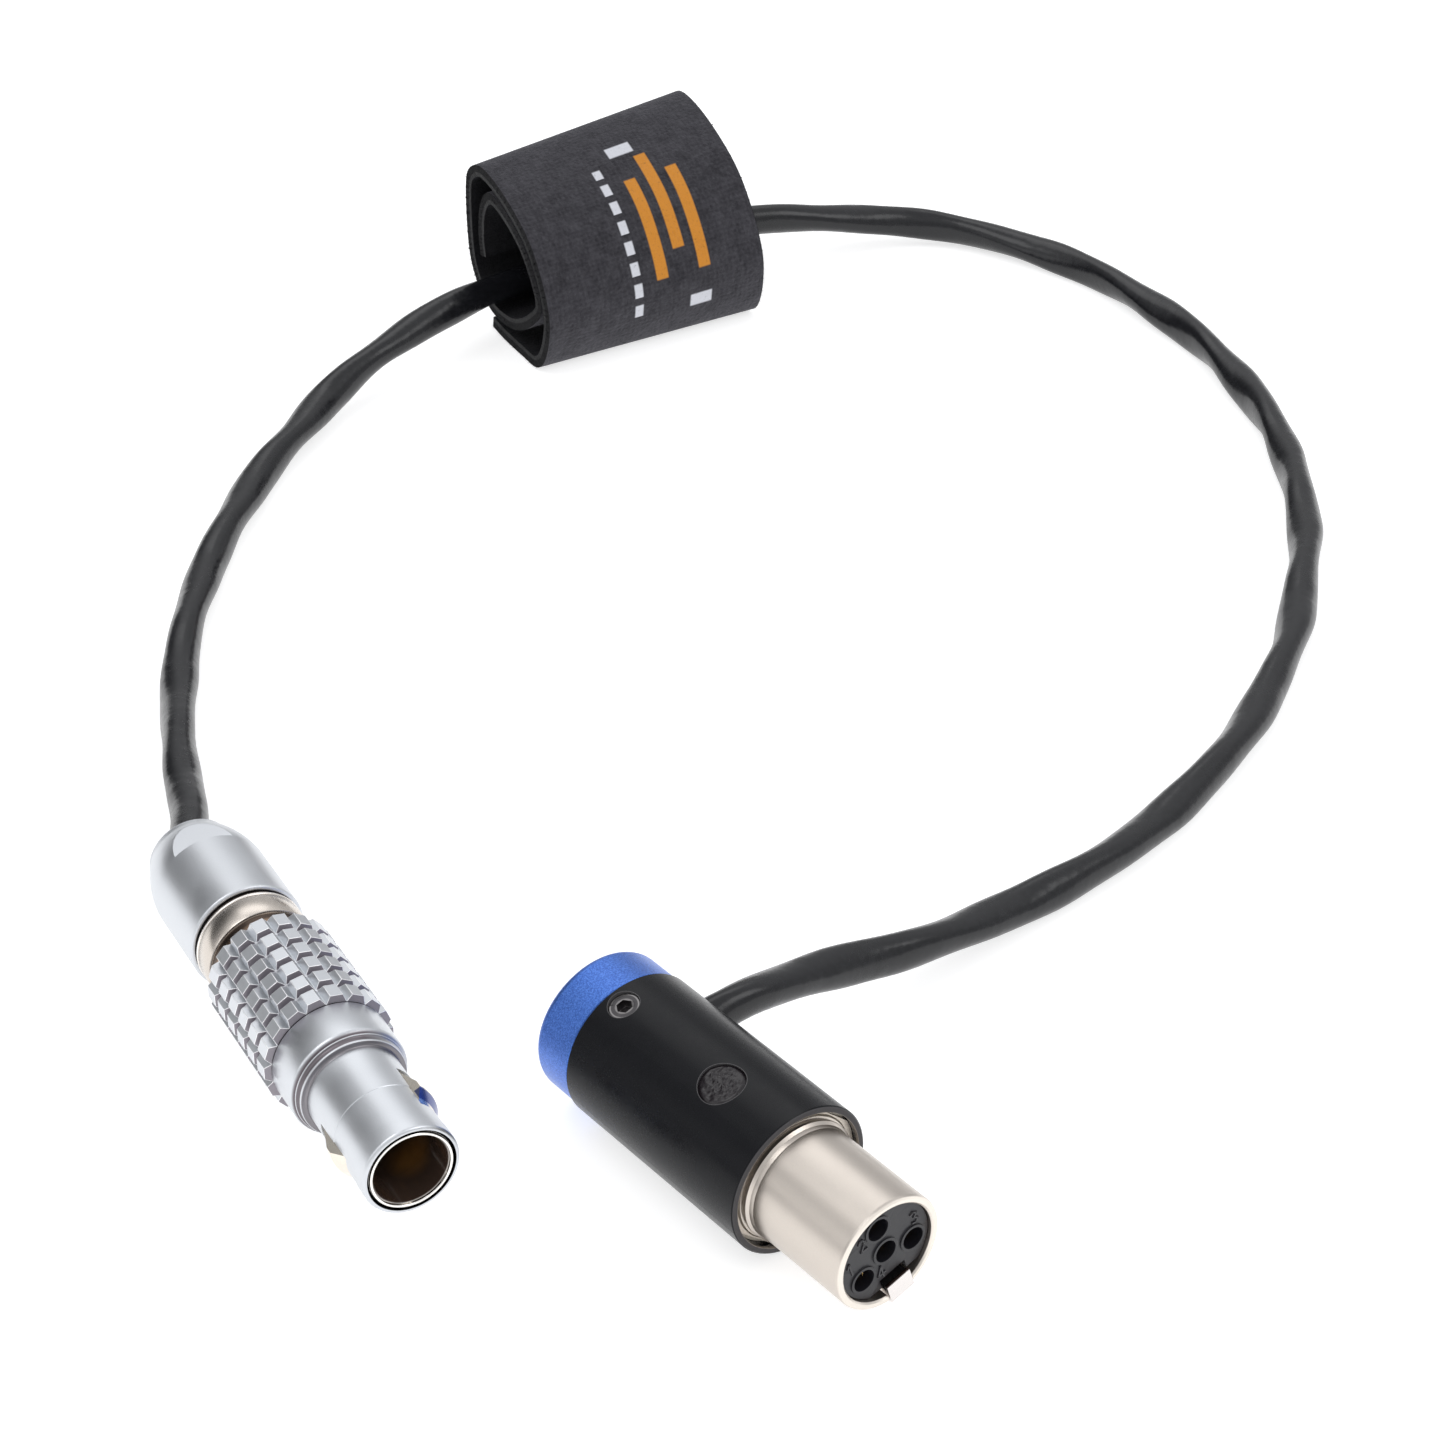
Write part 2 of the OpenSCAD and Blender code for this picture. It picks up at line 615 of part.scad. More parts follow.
module conn_barrel() {
    slot_w = tab_w + 2 * tab_gap;
    color("antiquewhite") at_conn() difference() {
        turned([
            [barrel_bore_r, 0.12], [barrel_bore_r + 0.12, 0], [barrel_r - 0.22, 0],
            [barrel_r - 0.06, 0.07], [barrel_r, 0.24], [barrel_r, housing_at - 0.5],
            [flared(0.09), housing_at - 0.2], [flared(0.29), housing_at],
            [flared(0.29), housing_at + 0.2], [flared(0.18), housing_at + 0.25],
            [flared(0.18), housing_at + 0.4], [flared(0.38), housing_at + 0.45],
            [flared(0.47), flange_at], [housing_bore_r - seat, flange_at],
            [housing_bore_r - seat, flange_end], [tail_r, flange_end], [tail_r, tail_end],
            [barrel_bore_r, tail_end]
        ]);
        translate([-slot_w / 2, -2 * barrel_r, -cut])
            cube([slot_w, 2 * barrel_r - keyway_r, tab_button_at + tab_button_len + 0.4 + cut]);
    }
}

module conn_latch() {
    r = tab_inner_r + tab_t;
    color("whitesmoke") at_conn() intersection() {
        bar(tab_hook_r, -cut, tab_end + cut);
        translate([-tab_w / 2, 0, 0]) rotate([90, 0, 90])
            linear_extrude(tab_w) polygon([
                [-tab_inner_r, -0.1], [-tab_hook_r + 0.25, -0.1], [-tab_hook_r, 0.15],
                [-tab_hook_r, tab_hook_len - 0.3], [-r - 0.5, tab_hook_len], [-r, tab_hook_len],
                [-r, tab_button_at], [-tab_button_r + 0.15, tab_button_at],
                [-tab_button_r, tab_button_at + 0.15],
                [-tab_button_r, tab_button_at + tab_button_len - 0.8],
                [-r, tab_button_at + tab_button_len], [-r, tab_end], [-tab_inner_r, tab_end]
            ]);
    }
}

module conn_insert() {
    deep_w = tab_w + 2 * tab_gap;
    color("#4a4650") at_conn() difference() {
        union() {
            bar(insert_r, insert_depth, insert_end);
            intersection() {
                bar(insert_r, 0, insert_end);
                for (p = SOCKETS)
                    rotate([0, 0, p[1]]) translate([0, p[0], 0])
                        bar(socket_hole_r + 0.22, insert_depth - 0.12, insert_depth + 0.5, small_fn);
            }
        }
        for (p = SOCKETS)
            rotate([0, 0, p[1]]) translate([0, p[0], 0])
                bar(socket_hole_r, -cut, insert_end + cut, small_fn);
        translate([-keyway_w / 2, -insert_r - cut, -cut])
            cube([keyway_w, insert_r + cut - keyway_r, keyway_len + cut]);
        translate([-deep_w / 2, -insert_r, -cut])
            cube([deep_w, insert_r - keyway_deep_r, keyway_len + cut]);
    }
}

module conn_contacts() {
    bore_end = contact_at + contact_bore_len;
    color("gold") at_conn() for (p = SOCKETS)
        rotate([0, 0, p[1]]) translate([0, p[0], 0])
            turned([
                [socket_bore_d / 2, contact_at + 0.1], [socket_bore_d / 2 + 0.1, contact_at],
                [contact_r, contact_at], [contact_r, contact_end],
                [contact_r - 0.2, contact_end], [contact_r - 0.2, contact_end - 1.6],
                [0, contact_end - 1.6], [0, bore_end], [socket_bore_d / 2, bore_end]
            ], small_fn);
}

// Dark ring behind the housing's lip, with two flats that bare the flange
module conn_front_ring() {
    outer_r = housing_bore_r - seat;
    flat_y = ring_inner_r + (outer_r - ring_inner_r) * 0.2;
    color("#241f1f") at_conn() difference() {
        turned([
            [ring_inner_r, flange_at - 0.3], [outer_r, flange_at - 0.3], [outer_r, flange_at],
            [ring_inner_r, flange_at]
        ]);
        for (a = [60, 240])
            rotate([0, 0, a]) translate([-outer_r, flat_y, flange_at - cut])
                cube([2 * outer_r, outer_r, 2 * cut]);
    }
}

module conn_housing() {
    color("#1f2024") at_conn() difference() {
        turned([
            [housing_bore_r, housing_at], [housing_r - 0.12, housing_at], [housing_r, housing_at + 0.12],
            [housing_r, housing_end - 0.08], [housing_r - 0.08, housing_end],
            [housing_bore_r, housing_end]
        ]);
        radial(fixing_at, 0, housing_bore_r - 1, housing_r + 1, fixing_d / 2 + 0.05);
        radial(grub_s, 0, housing_bore_r - 1, housing_r + 1, grub_d / 2 + 0.05);
        radial(outlet_at, outlet_turn, housing_bore_r - 1, housing_r + 1, outlet_r);
    }
}

module conn_fixing_screw() {
    color("#4d3c42") at_conn() difference() {
        radial(fixing_at, 0, tail_r + seat, housing_r - 0.3, fixing_d / 2);
        translate([0, housing_r - 0.55, fixing_at]) rotate([-90, 0, 0])
            cylinder(r1 = 0.7, r2 = fixing_d / 2 - 0.2, h = 0.26, $fn = small_fn);
    }
}

module conn_retaining_ring() {
    color("black") at_conn() turned([
        [insert_r - 0.5, insert_end], [tail_r, insert_end], [housing_bore_r - seat, insert_end + 0.4],
        [housing_bore_r - seat, insert_end + 1.4], [insert_r - 0.5, insert_end + 1.4]
    ]);
}

// A point given with the outlet along -X, turned to where the outlet is
function to_outlet(p) = [
    p[0] * sin(outlet_turn) + p[1] * cos(outlet_turn),
    p[1] * sin(outlet_turn) - p[0] * cos(outlet_turn), p[2]
];

module conn_wires() {
    wire_r = 0.3;
    spread = 0.45;
    rise = contact_end + 1.2;
    reach = crimp_at - 0.35;
    joint_r = wire_r + 0.02;
    // Across, towards the outlet, and along the connector, for each wire's bend
    BENDS = [
        [-1.2, spread, -spread], [-0.2, spread, spread],
        [-1.2, -spread, -spread], [-0.2, -spread, spread]
    ];
    color("firebrick") at_conn() for (k = [0 : len(SOCKETS) - 1]) {
        foot = [-SOCKETS[k][0] * sin(SOCKETS[k][1]), SOCKETS[k][0] * cos(SOCKETS[k][1]), rise];
        bend = to_outlet(BENDS[k] + [0, 0, outlet_at]);
        translate([foot[0], foot[1], 0]) bar(wire_r, contact_end - 1.4, rise, small_fn);
        translate(foot) sphere(r = joint_r, $fn = small_fn);
        rod(foot, bend, wire_r);
        translate(bend) sphere(r = joint_r, $fn = small_fn);
        rod(bend, to_outlet([-reach, BENDS[k][1], bend[2]]), wire_r);
    }
}

module conn_crimp_ring() {
    color("silver") at_conn() difference() {
        radial(outlet_at, outlet_turn, crimp_at, crimp_at + crimp_len, crimp_r);
        radial(outlet_at, outlet_turn, crimp_at - 1, crimp_at + crimp_len + 1, cable_d / 2 + seat);
    }
}

module conn_grub_screw() {
    depth = 0.7;
    top = housing_r - 0.25;
    color("dimgray") at_conn() difference() {
        radial(grub_s, 0, cap_spigot_r - 0.5, top, grub_d / 2);
        radial(grub_s, 0, top - depth, top + 1, 0.6, 6);
    }
}

module conn_end_cap() {
    color("royalblue") at_conn() difference() {
        union() {
            rotate_extrude($fn = round_fn) {
                polygon([
                    [0, cap_at], [cap_r - 0.1, cap_at], [cap_r, cap_at + 0.1],
                    [cap_r, cap_end - cap_edge_r], [cap_r - cap_edge_r, cap_end - cap_edge_r],
                    [cap_r - cap_edge_r, cap_end], [0, cap_end]
                ]);
                intersection() {
                    translate([cap_r - cap_edge_r, cap_end - cap_edge_r])
                        circle(r = cap_edge_r, $fn = 24);
                    translate([cap_r - cap_edge_r, cap_end - cap_edge_r]) square(cap_edge_r);
                }
            }
            turned([
                [cap_spigot_r - cap_wall, spigot_at], [cap_spigot_r, spigot_at],
                [cap_spigot_r, cap_at], [cap_spigot_r - cap_wall, cap_at]
            ]);
        }
        rotate([0, 0, outlet_turn]) translate([-outlet_r, 0, spigot_at - cut])
            cube([2 * outlet_r, housing_r + 1, outlet_at + outlet_r - spigot_at + cut]);
        radial(grub_s, 0, cap_spigot_r - 0.5, housing_r, grub_d / 2 + 0.05);
    }
}

// ---- Strap ----

// The strap's section at its far end, where the roll is wider, taller and leans
function far_section(p) = [
    for (q = p) [q[0] * (1 + strap_widen) + q[1] * strap_lean, q[1] * (1 + strap_rise)]
];
function at_depth(q, z) = [q[0], q[1], z];

// A face of the strap between two distances from its centreline
module strap_face(inner, outer) {
    near = curve(STRAP_LAY, strap_steps);
    far = far_section(near);
    near_in = beside(near, inner);
    near_out = beside(near, outer);
    far_in = beside(far, inner);
    far_out = beside(far, outer);
    translate([strap_x, strap_y, 0]) rotate([90, 0, strap_heading + 90])
        skinned([
            for (i = [0 : len(near) - 1]) [
                at_depth(near_out[i], 0), at_depth(far_out[i], strap_w),
                at_depth(far_in[i], strap_w), at_depth(near_in[i], 0)
            ]
        ]);
}

module strap_loop_layer() {
    color("#3a3a3e") strap_face(strap_hook_t - strap_t / 2, strap_t / 2);
}

module strap_hook_layer() {
    color("#2c2c30") strap_face(-strap_t / 2, strap_hook_t - strap_t / 2);
}

plug_outer_shell();
plug_latch_right();
plug_latch_left();
plug_guide_sleeve();
plug_insulator();
plug_contacts();
plug_carrier_upper();
plug_carrier_lower();
plug_wires();
plug_body();
plug_collet();
plug_collet_nut();
cable_jacket();
conn_barrel();
conn_latch();
conn_insert();
conn_contacts();
conn_front_ring();
conn_housing();
conn_fixing_screw();
conn_retaining_ring();
conn_wires();
conn_crimp_ring();
conn_grub_screw();
conn_end_cap();
strap_loop_layer();
strap_hook_layer();
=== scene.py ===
import functools
import math
import random

import bmesh
import bpy
from mathutils import Matrix, Vector, noise


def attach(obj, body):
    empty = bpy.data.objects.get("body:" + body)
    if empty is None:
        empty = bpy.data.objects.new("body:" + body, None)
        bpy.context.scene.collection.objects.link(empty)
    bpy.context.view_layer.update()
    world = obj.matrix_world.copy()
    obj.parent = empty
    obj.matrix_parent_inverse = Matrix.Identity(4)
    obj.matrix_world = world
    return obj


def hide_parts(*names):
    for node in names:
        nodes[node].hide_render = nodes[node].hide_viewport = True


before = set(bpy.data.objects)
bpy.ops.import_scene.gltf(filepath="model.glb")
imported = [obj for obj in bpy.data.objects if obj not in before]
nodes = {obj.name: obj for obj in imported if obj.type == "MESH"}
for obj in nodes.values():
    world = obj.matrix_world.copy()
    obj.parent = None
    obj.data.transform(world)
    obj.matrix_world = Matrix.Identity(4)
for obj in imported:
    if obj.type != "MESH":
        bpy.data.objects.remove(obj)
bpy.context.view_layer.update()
scene = bpy.context.scene
MM = 0.001

# ---- Sizes and places, in millimetres, as in the part's source where it has them ----
PLUG_AT = Vector((-5.92, -69.24, 4.9))
PLUG_HEADING = -61.73
CONN_AT = Vector((25.6, -78.3, 5.7))
CONN_HEADING = -51.43
CONN_ROLL = -18.0
STRAP_AT = Vector((-2.95, 53.87, 0.0))
STRAP_HEADING = 30.3
# The cable's centreline from the nut to the connector's outlet
CABLE_LAY = [
    (-26.2, -27.2, 4.1), (-27.1, -22.9, 3.5), (-28.0, -18.6, 2.9), (-29.5, -10.5, 2.1),
    (-30.3, -2.6, 1.6), (-30.7, 5.0, 1.5), (-30.5, 10.6, 1.5), (-29.8, 17.2, 1.5),
    (-28.7, 24.6, 1.5), (-26.8, 32.4, 1.6), (-23.4, 41.8, 2.1), (-21.4, 45.8, 2.6),
    (-19.2, 49.2, 3.3), (-16.7, 52.0, 4.1), (-13.1, 55.6, 4.9), (-7.6, 61.1, 5.2),
    (-1.0, 65.8, 5.3), (5.5, 70.3, 5.3), (12.7, 74.6, 5.3), (18.7, 77.1, 5.1),
    (25.4, 79.7, 4.0), (30.4, 81.5, 3.0), (35.3, 82.3, 2.2), (40.1, 81.4, 1.7),
    (44.7, 79.1, 1.5), (49.1, 75.6, 1.5), (53.2, 71.2, 1.5), (56.9, 66.0, 1.5),
    (60.2, 60.1, 1.5), (63.0, 53.5, 1.5), (65.1, 46.2, 1.5), (66.6, 38.4, 1.5),
    (67.0, 30.0, 1.5), (66.9, 23.6, 1.5), (66.1, 17.3, 1.5), (63.7, 5.5, 1.5),
    (60.1, -5.0, 1.5), (55.8, -13.8, 1.5), (51.0, -21.3, 1.5), (46.0, -27.3, 1.5),
    (42.1, -31.3, 1.6), (38.2, -34.7, 1.8), (34.7, -37.6, 2.2), (31.2, -40.6, 2.8),
    (27.7, -43.4, 3.5), (24.3, -45.9, 4.4), (21.6, -48.3, 5.4), (19.0, -50.8, 6.3),
    (16.5, -53.0, 6.85),
]
CABLE_D = 2.95
# The strap's roll as seen from its near end; the far end rises, widens and leans a little
STRAP_LAY = [
    (9.6, 1.15), (7.4, 0.85), (5.3, 0.75), (3.0, 0.7), (0.9, 0.7), (-0.5, 1.6),
    (-1.6, 3.9), (-1.9, 6.8), (-0.4, 10.3), (2.2, 13.3), (6.8, 15.7), (10.9, 16.6),
    (13.1, 15.7), (13.9, 13.9), (14.0, 9.6), (13.5, 6.3), (11.9, 4.0), (9.4, 2.7),
    (6.6, 2.6), (4.2, 3.2), (1.6, 4.8), (-0.35, 7.0), (0.9, 9.8), (3.2, 12.3),
    (6.7, 14.1), (9.4, 14.5), (11.0, 12.7), (11.5, 9.8), (11.2, 7.6),
]
STRAP_W = 24.3
STRAP_LOOP_T, STRAP_HOOK_T = 0.72, 0.44
STRAP_RISE, STRAP_WIDEN, STRAP_LEAN = 0.08, 0.04, 0.15
# Plug: stations along the axis from the front rim, and radii
LATCH_TURN, LATCH_W, WINDOW_GAP = 65.0, 2.9, 0.18
WINDOW_HALF = LATCH_W / 2 + WINDOW_GAP
WINDOW_AT, WINDOW_END = 3.0, 7.2
NOSE_R, NOSE_BORE_R, RIM_R = 3.55, 3.25, 3.262
NOSE_END, COLLAR_FRONT, COLLAR_REAR, COLLAR_R = 9.72, 10.29, 13.98, 4.40
GUIDE_R, GUIDE_BORE_R = 3.05, 2.84
GRIP_AT, GRIP_PITCH, GROOVE_W = 13.95, 1.84, 0.62
GRIP_RINGS, GRIP_COLUMNS = 6, 18
GRIP_END, GRIP_SPARE = 0.18, 0.2
GRIP_LEN = GRIP_RINGS * GRIP_PITCH - GROOVE_W + 2 * GRIP_END + GRIP_SPARE
GRIP_REAR = GRIP_AT + GRIP_LEN
GRIP_R, ROOT_R = 4.9, 4.42
PAD_EDGE, PAD_FLANK = 0.030, 0.372
SLEEVE_TRAVEL, NECK_GAP, BAND_LEN, NUT_GAP = 1.3, 0.15, 2.85, 0.05
NECK_R = 4.0
NECK_END = GRIP_REAR + SLEEVE_TRAVEL + NECK_GAP
RING_END = NECK_END + BAND_LEN
NUT_AT = RING_END + NUT_GAP
NUT_STRAIGHT, NUT_LEN = 7.2, 11.55
NUT_TAPER, NUT_REAR = NUT_AT + NUT_STRAIGHT, NUT_AT + NUT_LEN
NUT_R, NUT_BORE_R, NUT_FLATS, NUT_TURN = 4.43, 3.36, 3.79, -5.0
BODY_END = NUT_AT + 5.2
CABLE_FROM = NUT_AT + 4.3
# Right-angle connector: stations along the axis from the barrel's front rim, and radii
HOUSING_R, HOUSING_FRONT, HOUSING_END = 5.7, 9.1, 27.4
OUTLET_AT, OUTLET_TURN = 25.4, 98.0
FIXING_AT, FIXING_R = 15.15, 1.65
GRUB_AT, GRUB_R = HOUSING_END - 1.5, 1.1
INSERT_DEPTH = 0.4
SOCKET_AT = (2.18, -0.88)
LIP_HALF, LIP_LOW, LIP_TOP = 1.0, -4.18, -2.70
LIP_FRONT, LIP_BACK, LIP_EDGE = -0.13, 0.20, 0.06


def turn_z(a):
    return Matrix.Rotation(math.radians(a), 3, "Z")


LYING = Matrix.Rotation(math.radians(90), 3, "X")
PLUG_M = turn_z(PLUG_HEADING - 90) @ LYING
CONN_M = turn_z(CONN_HEADING - 90) @ LYING @ turn_z(CONN_ROLL)
STRAP_M = turn_z(STRAP_HEADING + 90) @ LYING


def plug_pt(x, y, s):
    return PLUG_AT + PLUG_M @ Vector((x, y, s))


def conn_pt(x, y, s):
    return CONN_AT + CONN_M @ Vector((x, y, s))


def strap_pt(x, y, z):
    return STRAP_AT + STRAP_M @ Vector((x, y, z))


def round_pt(r, angle, s):
    """A point at an angle from local +Y, as in the part's source."""
    return (-r * math.sin(angle), r * math.cos(angle), s)


# ---- Camera, as fitted to the photo ----
PHOTO_PX, FOCAL_PX = 1445.0, 3500.0
CAMERA_AT = (14.85, -247.73, 159.5)
CAMERA_DIP = 33.6
SENSOR_W = 36.0

cam = bpy.data.cameras.new("camera")
cam.sensor_width = SENSOR_W
cam.lens = SENSOR_W * FOCAL_PX / PHOTO_PX
cam.clip_start = 0.01
cam.clip_end = 20.0
cam_obj = bpy.data.objects.new("camera", cam)
cam_obj.location = Vector(CAMERA_AT) * MM
cam_obj.rotation_euler = (math.radians(90 - CAMERA_DIP), 0, 0)
scene.collection.objects.link(cam_obj)
scene.camera = cam_obj


# ---- Mesh helpers; places are in millimetres until link_mesh ----
def catmull(points, steps):
    """A smooth curve through the points."""
    pts = [Vector(p) for p in points]
    out = []
    for i in range(len(pts) - 1):
        p0, p1, p2, p3 = pts[max(i - 1, 0)], pts[i], pts[i + 1], pts[min(i + 2, len(pts) - 1)]
        for k in range(steps):
            t = k / steps
            out.append(0.5 * (2 * p1 + (p2 - p0) * t + (2 * p0 - 5 * p1 + 4 * p2 - p3) * t * t
                              + (3 * p1 - p0 - 3 * p2 + p3) * t ** 3))
    out.append(pts[-1])
    return out


def even(points, step):
    """The polyline resampled at equal steps, and its length."""
    length = [0.0]
    for a, b in zip(points, points[1:]):
        length.append(length[-1] + (b - a).length)
    n = max(2, round(length[-1] / step))
    out, j = [], 0
    for i in range(n + 1):
        want = length[-1] * i / n
        while j < len(points) - 2 and length[j + 1] < want:
            j += 1
        seg = length[j + 1] - length[j]
        out.append(points[j].lerp(points[j + 1], (want - length[j]) / seg if seg > 0 else 0))
    return out, length[-1]


def link_mesh(name, verts, faces, smooth=True, sharp=None):
    """The piece as an object in metres; sharp is the angle in degrees from which its edges stay crisp."""
    me = bpy.data.meshes.new(name)
    me.from_pydata([tuple(Vector(v) * MM) for v in verts], [], faces)
    me.validate()
    bm = bmesh.new()
    bm.from_mesh(me)
    bmesh.ops.recalc_face_normals(bm, faces=bm.faces)
    bm.to_mesh(me)
    bm.free()
    for p in me.polygons:
        p.use_smooth = smooth
    ob = bpy.data.objects.new(name, me)
    scene.collection.objects.link(ob)
    if sharp:
        me.set_sharp_from_angle(angle=math.radians(sharp))
        ob.modifiers.new("normals", "WEIGHTED_NORMAL").keep_sharp = True
    return ob


def take(bm, place):
    """The bmesh's vertices, put in place, and its faces; the bmesh is freed."""
    bm.verts.index_update()
    verts = [place(*v.co) for v in bm.verts]
    faces = [tuple(v.index for v in f.verts) for f in bm.faces]
    bm.free()
    return verts, faces


def ring_faces(a, b, count):
    """Quads between two closed rows of vertices, which start at a and b."""
    return [(a + k, a + (k + 1) % count, b + (k + 1) % count, b + k) for k in range(count)]


def smooth_step(a, b, x):
    t = min(1.0, max(0.0, (x - a) / (b - a)))
    return t * t * (3 - 2 * t)


def arc(cr, cs, r, a0, a1, n=6):
    """Points (radius, station) of a round in a lathe profile, angles in degrees."""
    angles = [math.radians(a0 + (a1 - a0) * i / n) for i in range(n + 1)]
    return [(cr + r * math.cos(a), cs + r * math.sin(a)) for a in angles]


def lathe(profile, place, cols=144):
    """A closed turned skin from (radius, station) points."""
    verts, faces = [], []
    for i, (r, s) in enumerate(profile):
        verts += [place(*round_pt(r, 2 * math.pi * k / cols, s)) for k in range(cols)]
        faces += ring_faces(i * cols, (i + 1) % len(profile) * cols, cols)
    return verts, faces


# ---- Cable: one smooth, slightly oval and twisted jacket ----
def outlet_pt(r):
    return conn_pt(*round_pt(r, math.radians(OUTLET_TURN), OUTLET_AT))


route = [plug_pt(0, 0, s) for s in (CABLE_FROM, NUT_REAR - 2, NUT_REAR + 0.4)]
route += [Vector(p) for p in CABLE_LAY]
route += [outlet_pt(HOUSING_R + 0.2), outlet_pt(2.4)]
line, cable_len = even(catmull(route, 8), 0.45)


def cable_tube():
    """The jacket: round inside both fittings, oval, lobed and slowly twisting between them."""
    sides, oval, pinch = 32, 0.125, 0.150
    verts, faces = [], []
    n = len(line)
    step = cable_len / (n - 1)
    side = None
    twist = 0.4
    for i, p in enumerate(line):
        t = (line[min(i + 1, n - 1)] - line[max(i - 1, 0)]).normalized()
        side = Vector((0, 0, 1)).cross(t) if side is None else side - t * side.dot(t)
        side.normalize()
        up = t.cross(side)
        s = i * step
        ends = min(smooth_step(11.0, 22.0, s), smooth_step(2.2, 4.6, cable_len - s))
        half_turn = 17.0 + 3.0 * math.sin(s * 0.045 + 1.0)
        twist += math.pi * step / half_turn
        a, b = CABLE_D / 2 + oval * ends, CABLE_D / 2 - pinch * ends
        lobe = 0.03 * ends * math.sin(s * 0.31) + 0.02 * ends * math.sin(s * 0.83 + 2)
        for k in range(sides):
            w = 2 * math.pi * k / sides
            bulge = 1 + lobe + 0.018 * ends * math.cos(3 * w + s * 0.2)
            x, y = a * math.cos(w) * bulge, b * math.sin(w) * bulge
            verts.append(p + side * (x * math.cos(twist) - y * math.sin(twist))
                         + up * (x * math.sin(twist) + y * math.cos(twist)))
        if i < n - 1:
            faces += ring_faces(i * sides, (i + 1) * sides, sides)
    faces.append(tuple(range(sides - 1, -1, -1)))
    faces.append(tuple((n - 1) * sides + k for k in range(sides)))
    return link_mesh("cable", verts, faces)


cable = cable_tube()
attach(cable, "cable_assembly")
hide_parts("cable_jacket")


# ---- Release sleeve: nose, collar and knurled grip in one turned shell ----
def shell_profile():
    """The skin from the front rim back along the outside, and then forward along the bore."""
    rim = [(NOSE_BORE_R, 0.05), (RIM_R, 0.015), (3.29, 0.0)] + arc(3.30, 0.27, 0.27, -90, 0, 8)
    nose = [(3.57, 1.43), (3.50, 1.47), (3.51, 2.05), (3.51, WINDOW_AT), (3.51, 4.97),
            (NOSE_R, 5.01), (NOSE_R, WINDOW_END), (NOSE_R, NOSE_END - 0.22)]
    foot = [(3.56, NOSE_END - 0.12), (3.60, NOSE_END - 0.05), (3.68, NOSE_END - 0.01), (3.86, NOSE_END)]
    bead = arc(3.89, NOSE_END + 0.10, 0.11, -80, 0, 6) + [(4.01, NOSE_END + 0.33), (4.05, NOSE_END + 0.46)]
    bead += arc(4.12, COLLAR_FRONT, 0.06, -80, 60, 5)
    shoulder = arc(COLLAR_R - 0.42, COLLAR_FRONT + 0.46, 0.42, -60, 0, 10)
    collar = [(COLLAR_R, COLLAR_REAR - 0.12), (COLLAR_R - 0.015, COLLAR_REAR - 0.08),
              (4.33, COLLAR_REAR - 0.07), (4.33, COLLAR_REAR - 0.01), (ROOT_R, COLLAR_REAR)]
    rear = [(ROOT_R, GRIP_REAR - 0.02), (ROOT_R - 0.03, GRIP_REAR), (4.09, GRIP_REAR),
            (4.07, GRIP_REAR - 0.03)]
    bore = [(4.07, 18.43), (3.60, 18.43), (3.60, 10.2), (NOSE_BORE_R, 10.2),
            (NOSE_BORE_R, WINDOW_END), (NOSE_BORE_R, WINDOW_AT)]
    return rim + nose + foot + bead + shoulder + collar + rear, bore


def shell_mesh():
    """The turned skin with its two latch windows; each column knows if it is in a window or out of it."""
    outside, bore = shell_profile()
    profile = outside + bore
    per_window, per_side = 10, 62
    half = {r: math.asin(WINDOW_HALF / r) for r, _ in profile}
    cols = []
    for turn in (LATCH_TURN, LATCH_TURN + 180):
        centre = math.radians(turn)
        cols += [(True, centre, -1 + 2 * i / per_window) for i in range(per_window)]
        cols += [(False, centre, i / per_side) for i in range(per_side)]

    def angle(col, r):
        in_window, centre, u = col
        h = half[r] if r < NOSE_R + 0.05 else half[NOSE_R]
        return centre + (u * h if in_window else h + (math.pi - 2 * h) * u)

    n, m = len(profile), len(cols)
    verts = [plug_pt(*round_pt(r, angle(c, r), s)) for r, s in profile for c in cols]
    faces = []
    outer = [i for i, (r, s) in enumerate(outside) if WINDOW_AT <= s <= WINDOW_END]
    inner = [n - 2, n - 1]
    for i in range(n):
        j = (i + 1) % n
        open_row = (i in outer and j in outer) or (i in inner and j in inner)
        faces += [f for c, f in zip(cols, ring_faces(i * m, j * m, m)) if not (open_row and c[0])]
    for a, b in ((outer[0], inner[1]), (outer[-1], inner[0])):
        faces += [f for c, f in zip(cols, ring_faces(a * m, b * m, m)) if c[0]]
    for k in range(m):
        if cols[k][0] != cols[k - 1][0]:
            faces.append(tuple(i * m + k for i in outer + inner))
    return verts, faces


def pad_template(s_top, s_foot):
    """One grip pad: tangent, height and station of each vertex, and each face with its kind.

    Kinds are 1 for the top and the flanks, 2 for a broken edge and 3 for a wall across the axis.
    """
    half_pitch = math.pi / GRIP_COLUMNS
    foot_t, foot_r = ROOT_R * math.sin(half_pitch), ROOT_R * math.cos(half_pitch) - 0.03
    top_t = GRIP_R * math.sin(half_pitch) - PAD_FLANK
    bm = bmesh.new()
    low, high = [[bm.verts.new(p) for p in ((-t, r, s[0]), (t, r, s[0]), (t, r, s[1]), (-t, r, s[1]))]
                 for t, r, s in ((foot_t, foot_r, s_foot), (top_t, GRIP_R, s_top))]
    bm.faces.new(high)
    for k in range(4):
        bm.faces.new((low[k], low[(k + 1) % 4], high[(k + 1) % 4], high[k]))
    edges = [e for e in bm.edges if any(v in high for v in e.verts)]
    broken = bmesh.ops.bevel(bm, geom=edges, offset=PAD_EDGE, offset_type="OFFSET", segments=2, profile=0.6,
                             affect="EDGES", clamp_overlap=True)
    edge_faces = set(broken["faces"])
    bm.normal_update()
    kinds = [2 if f in edge_faces else 3 if abs(f.normal.z) > 0.6 else 1 for f in bm.faces]
    return *take(bm, lambda t, h, s: (t, h, s)), kinds


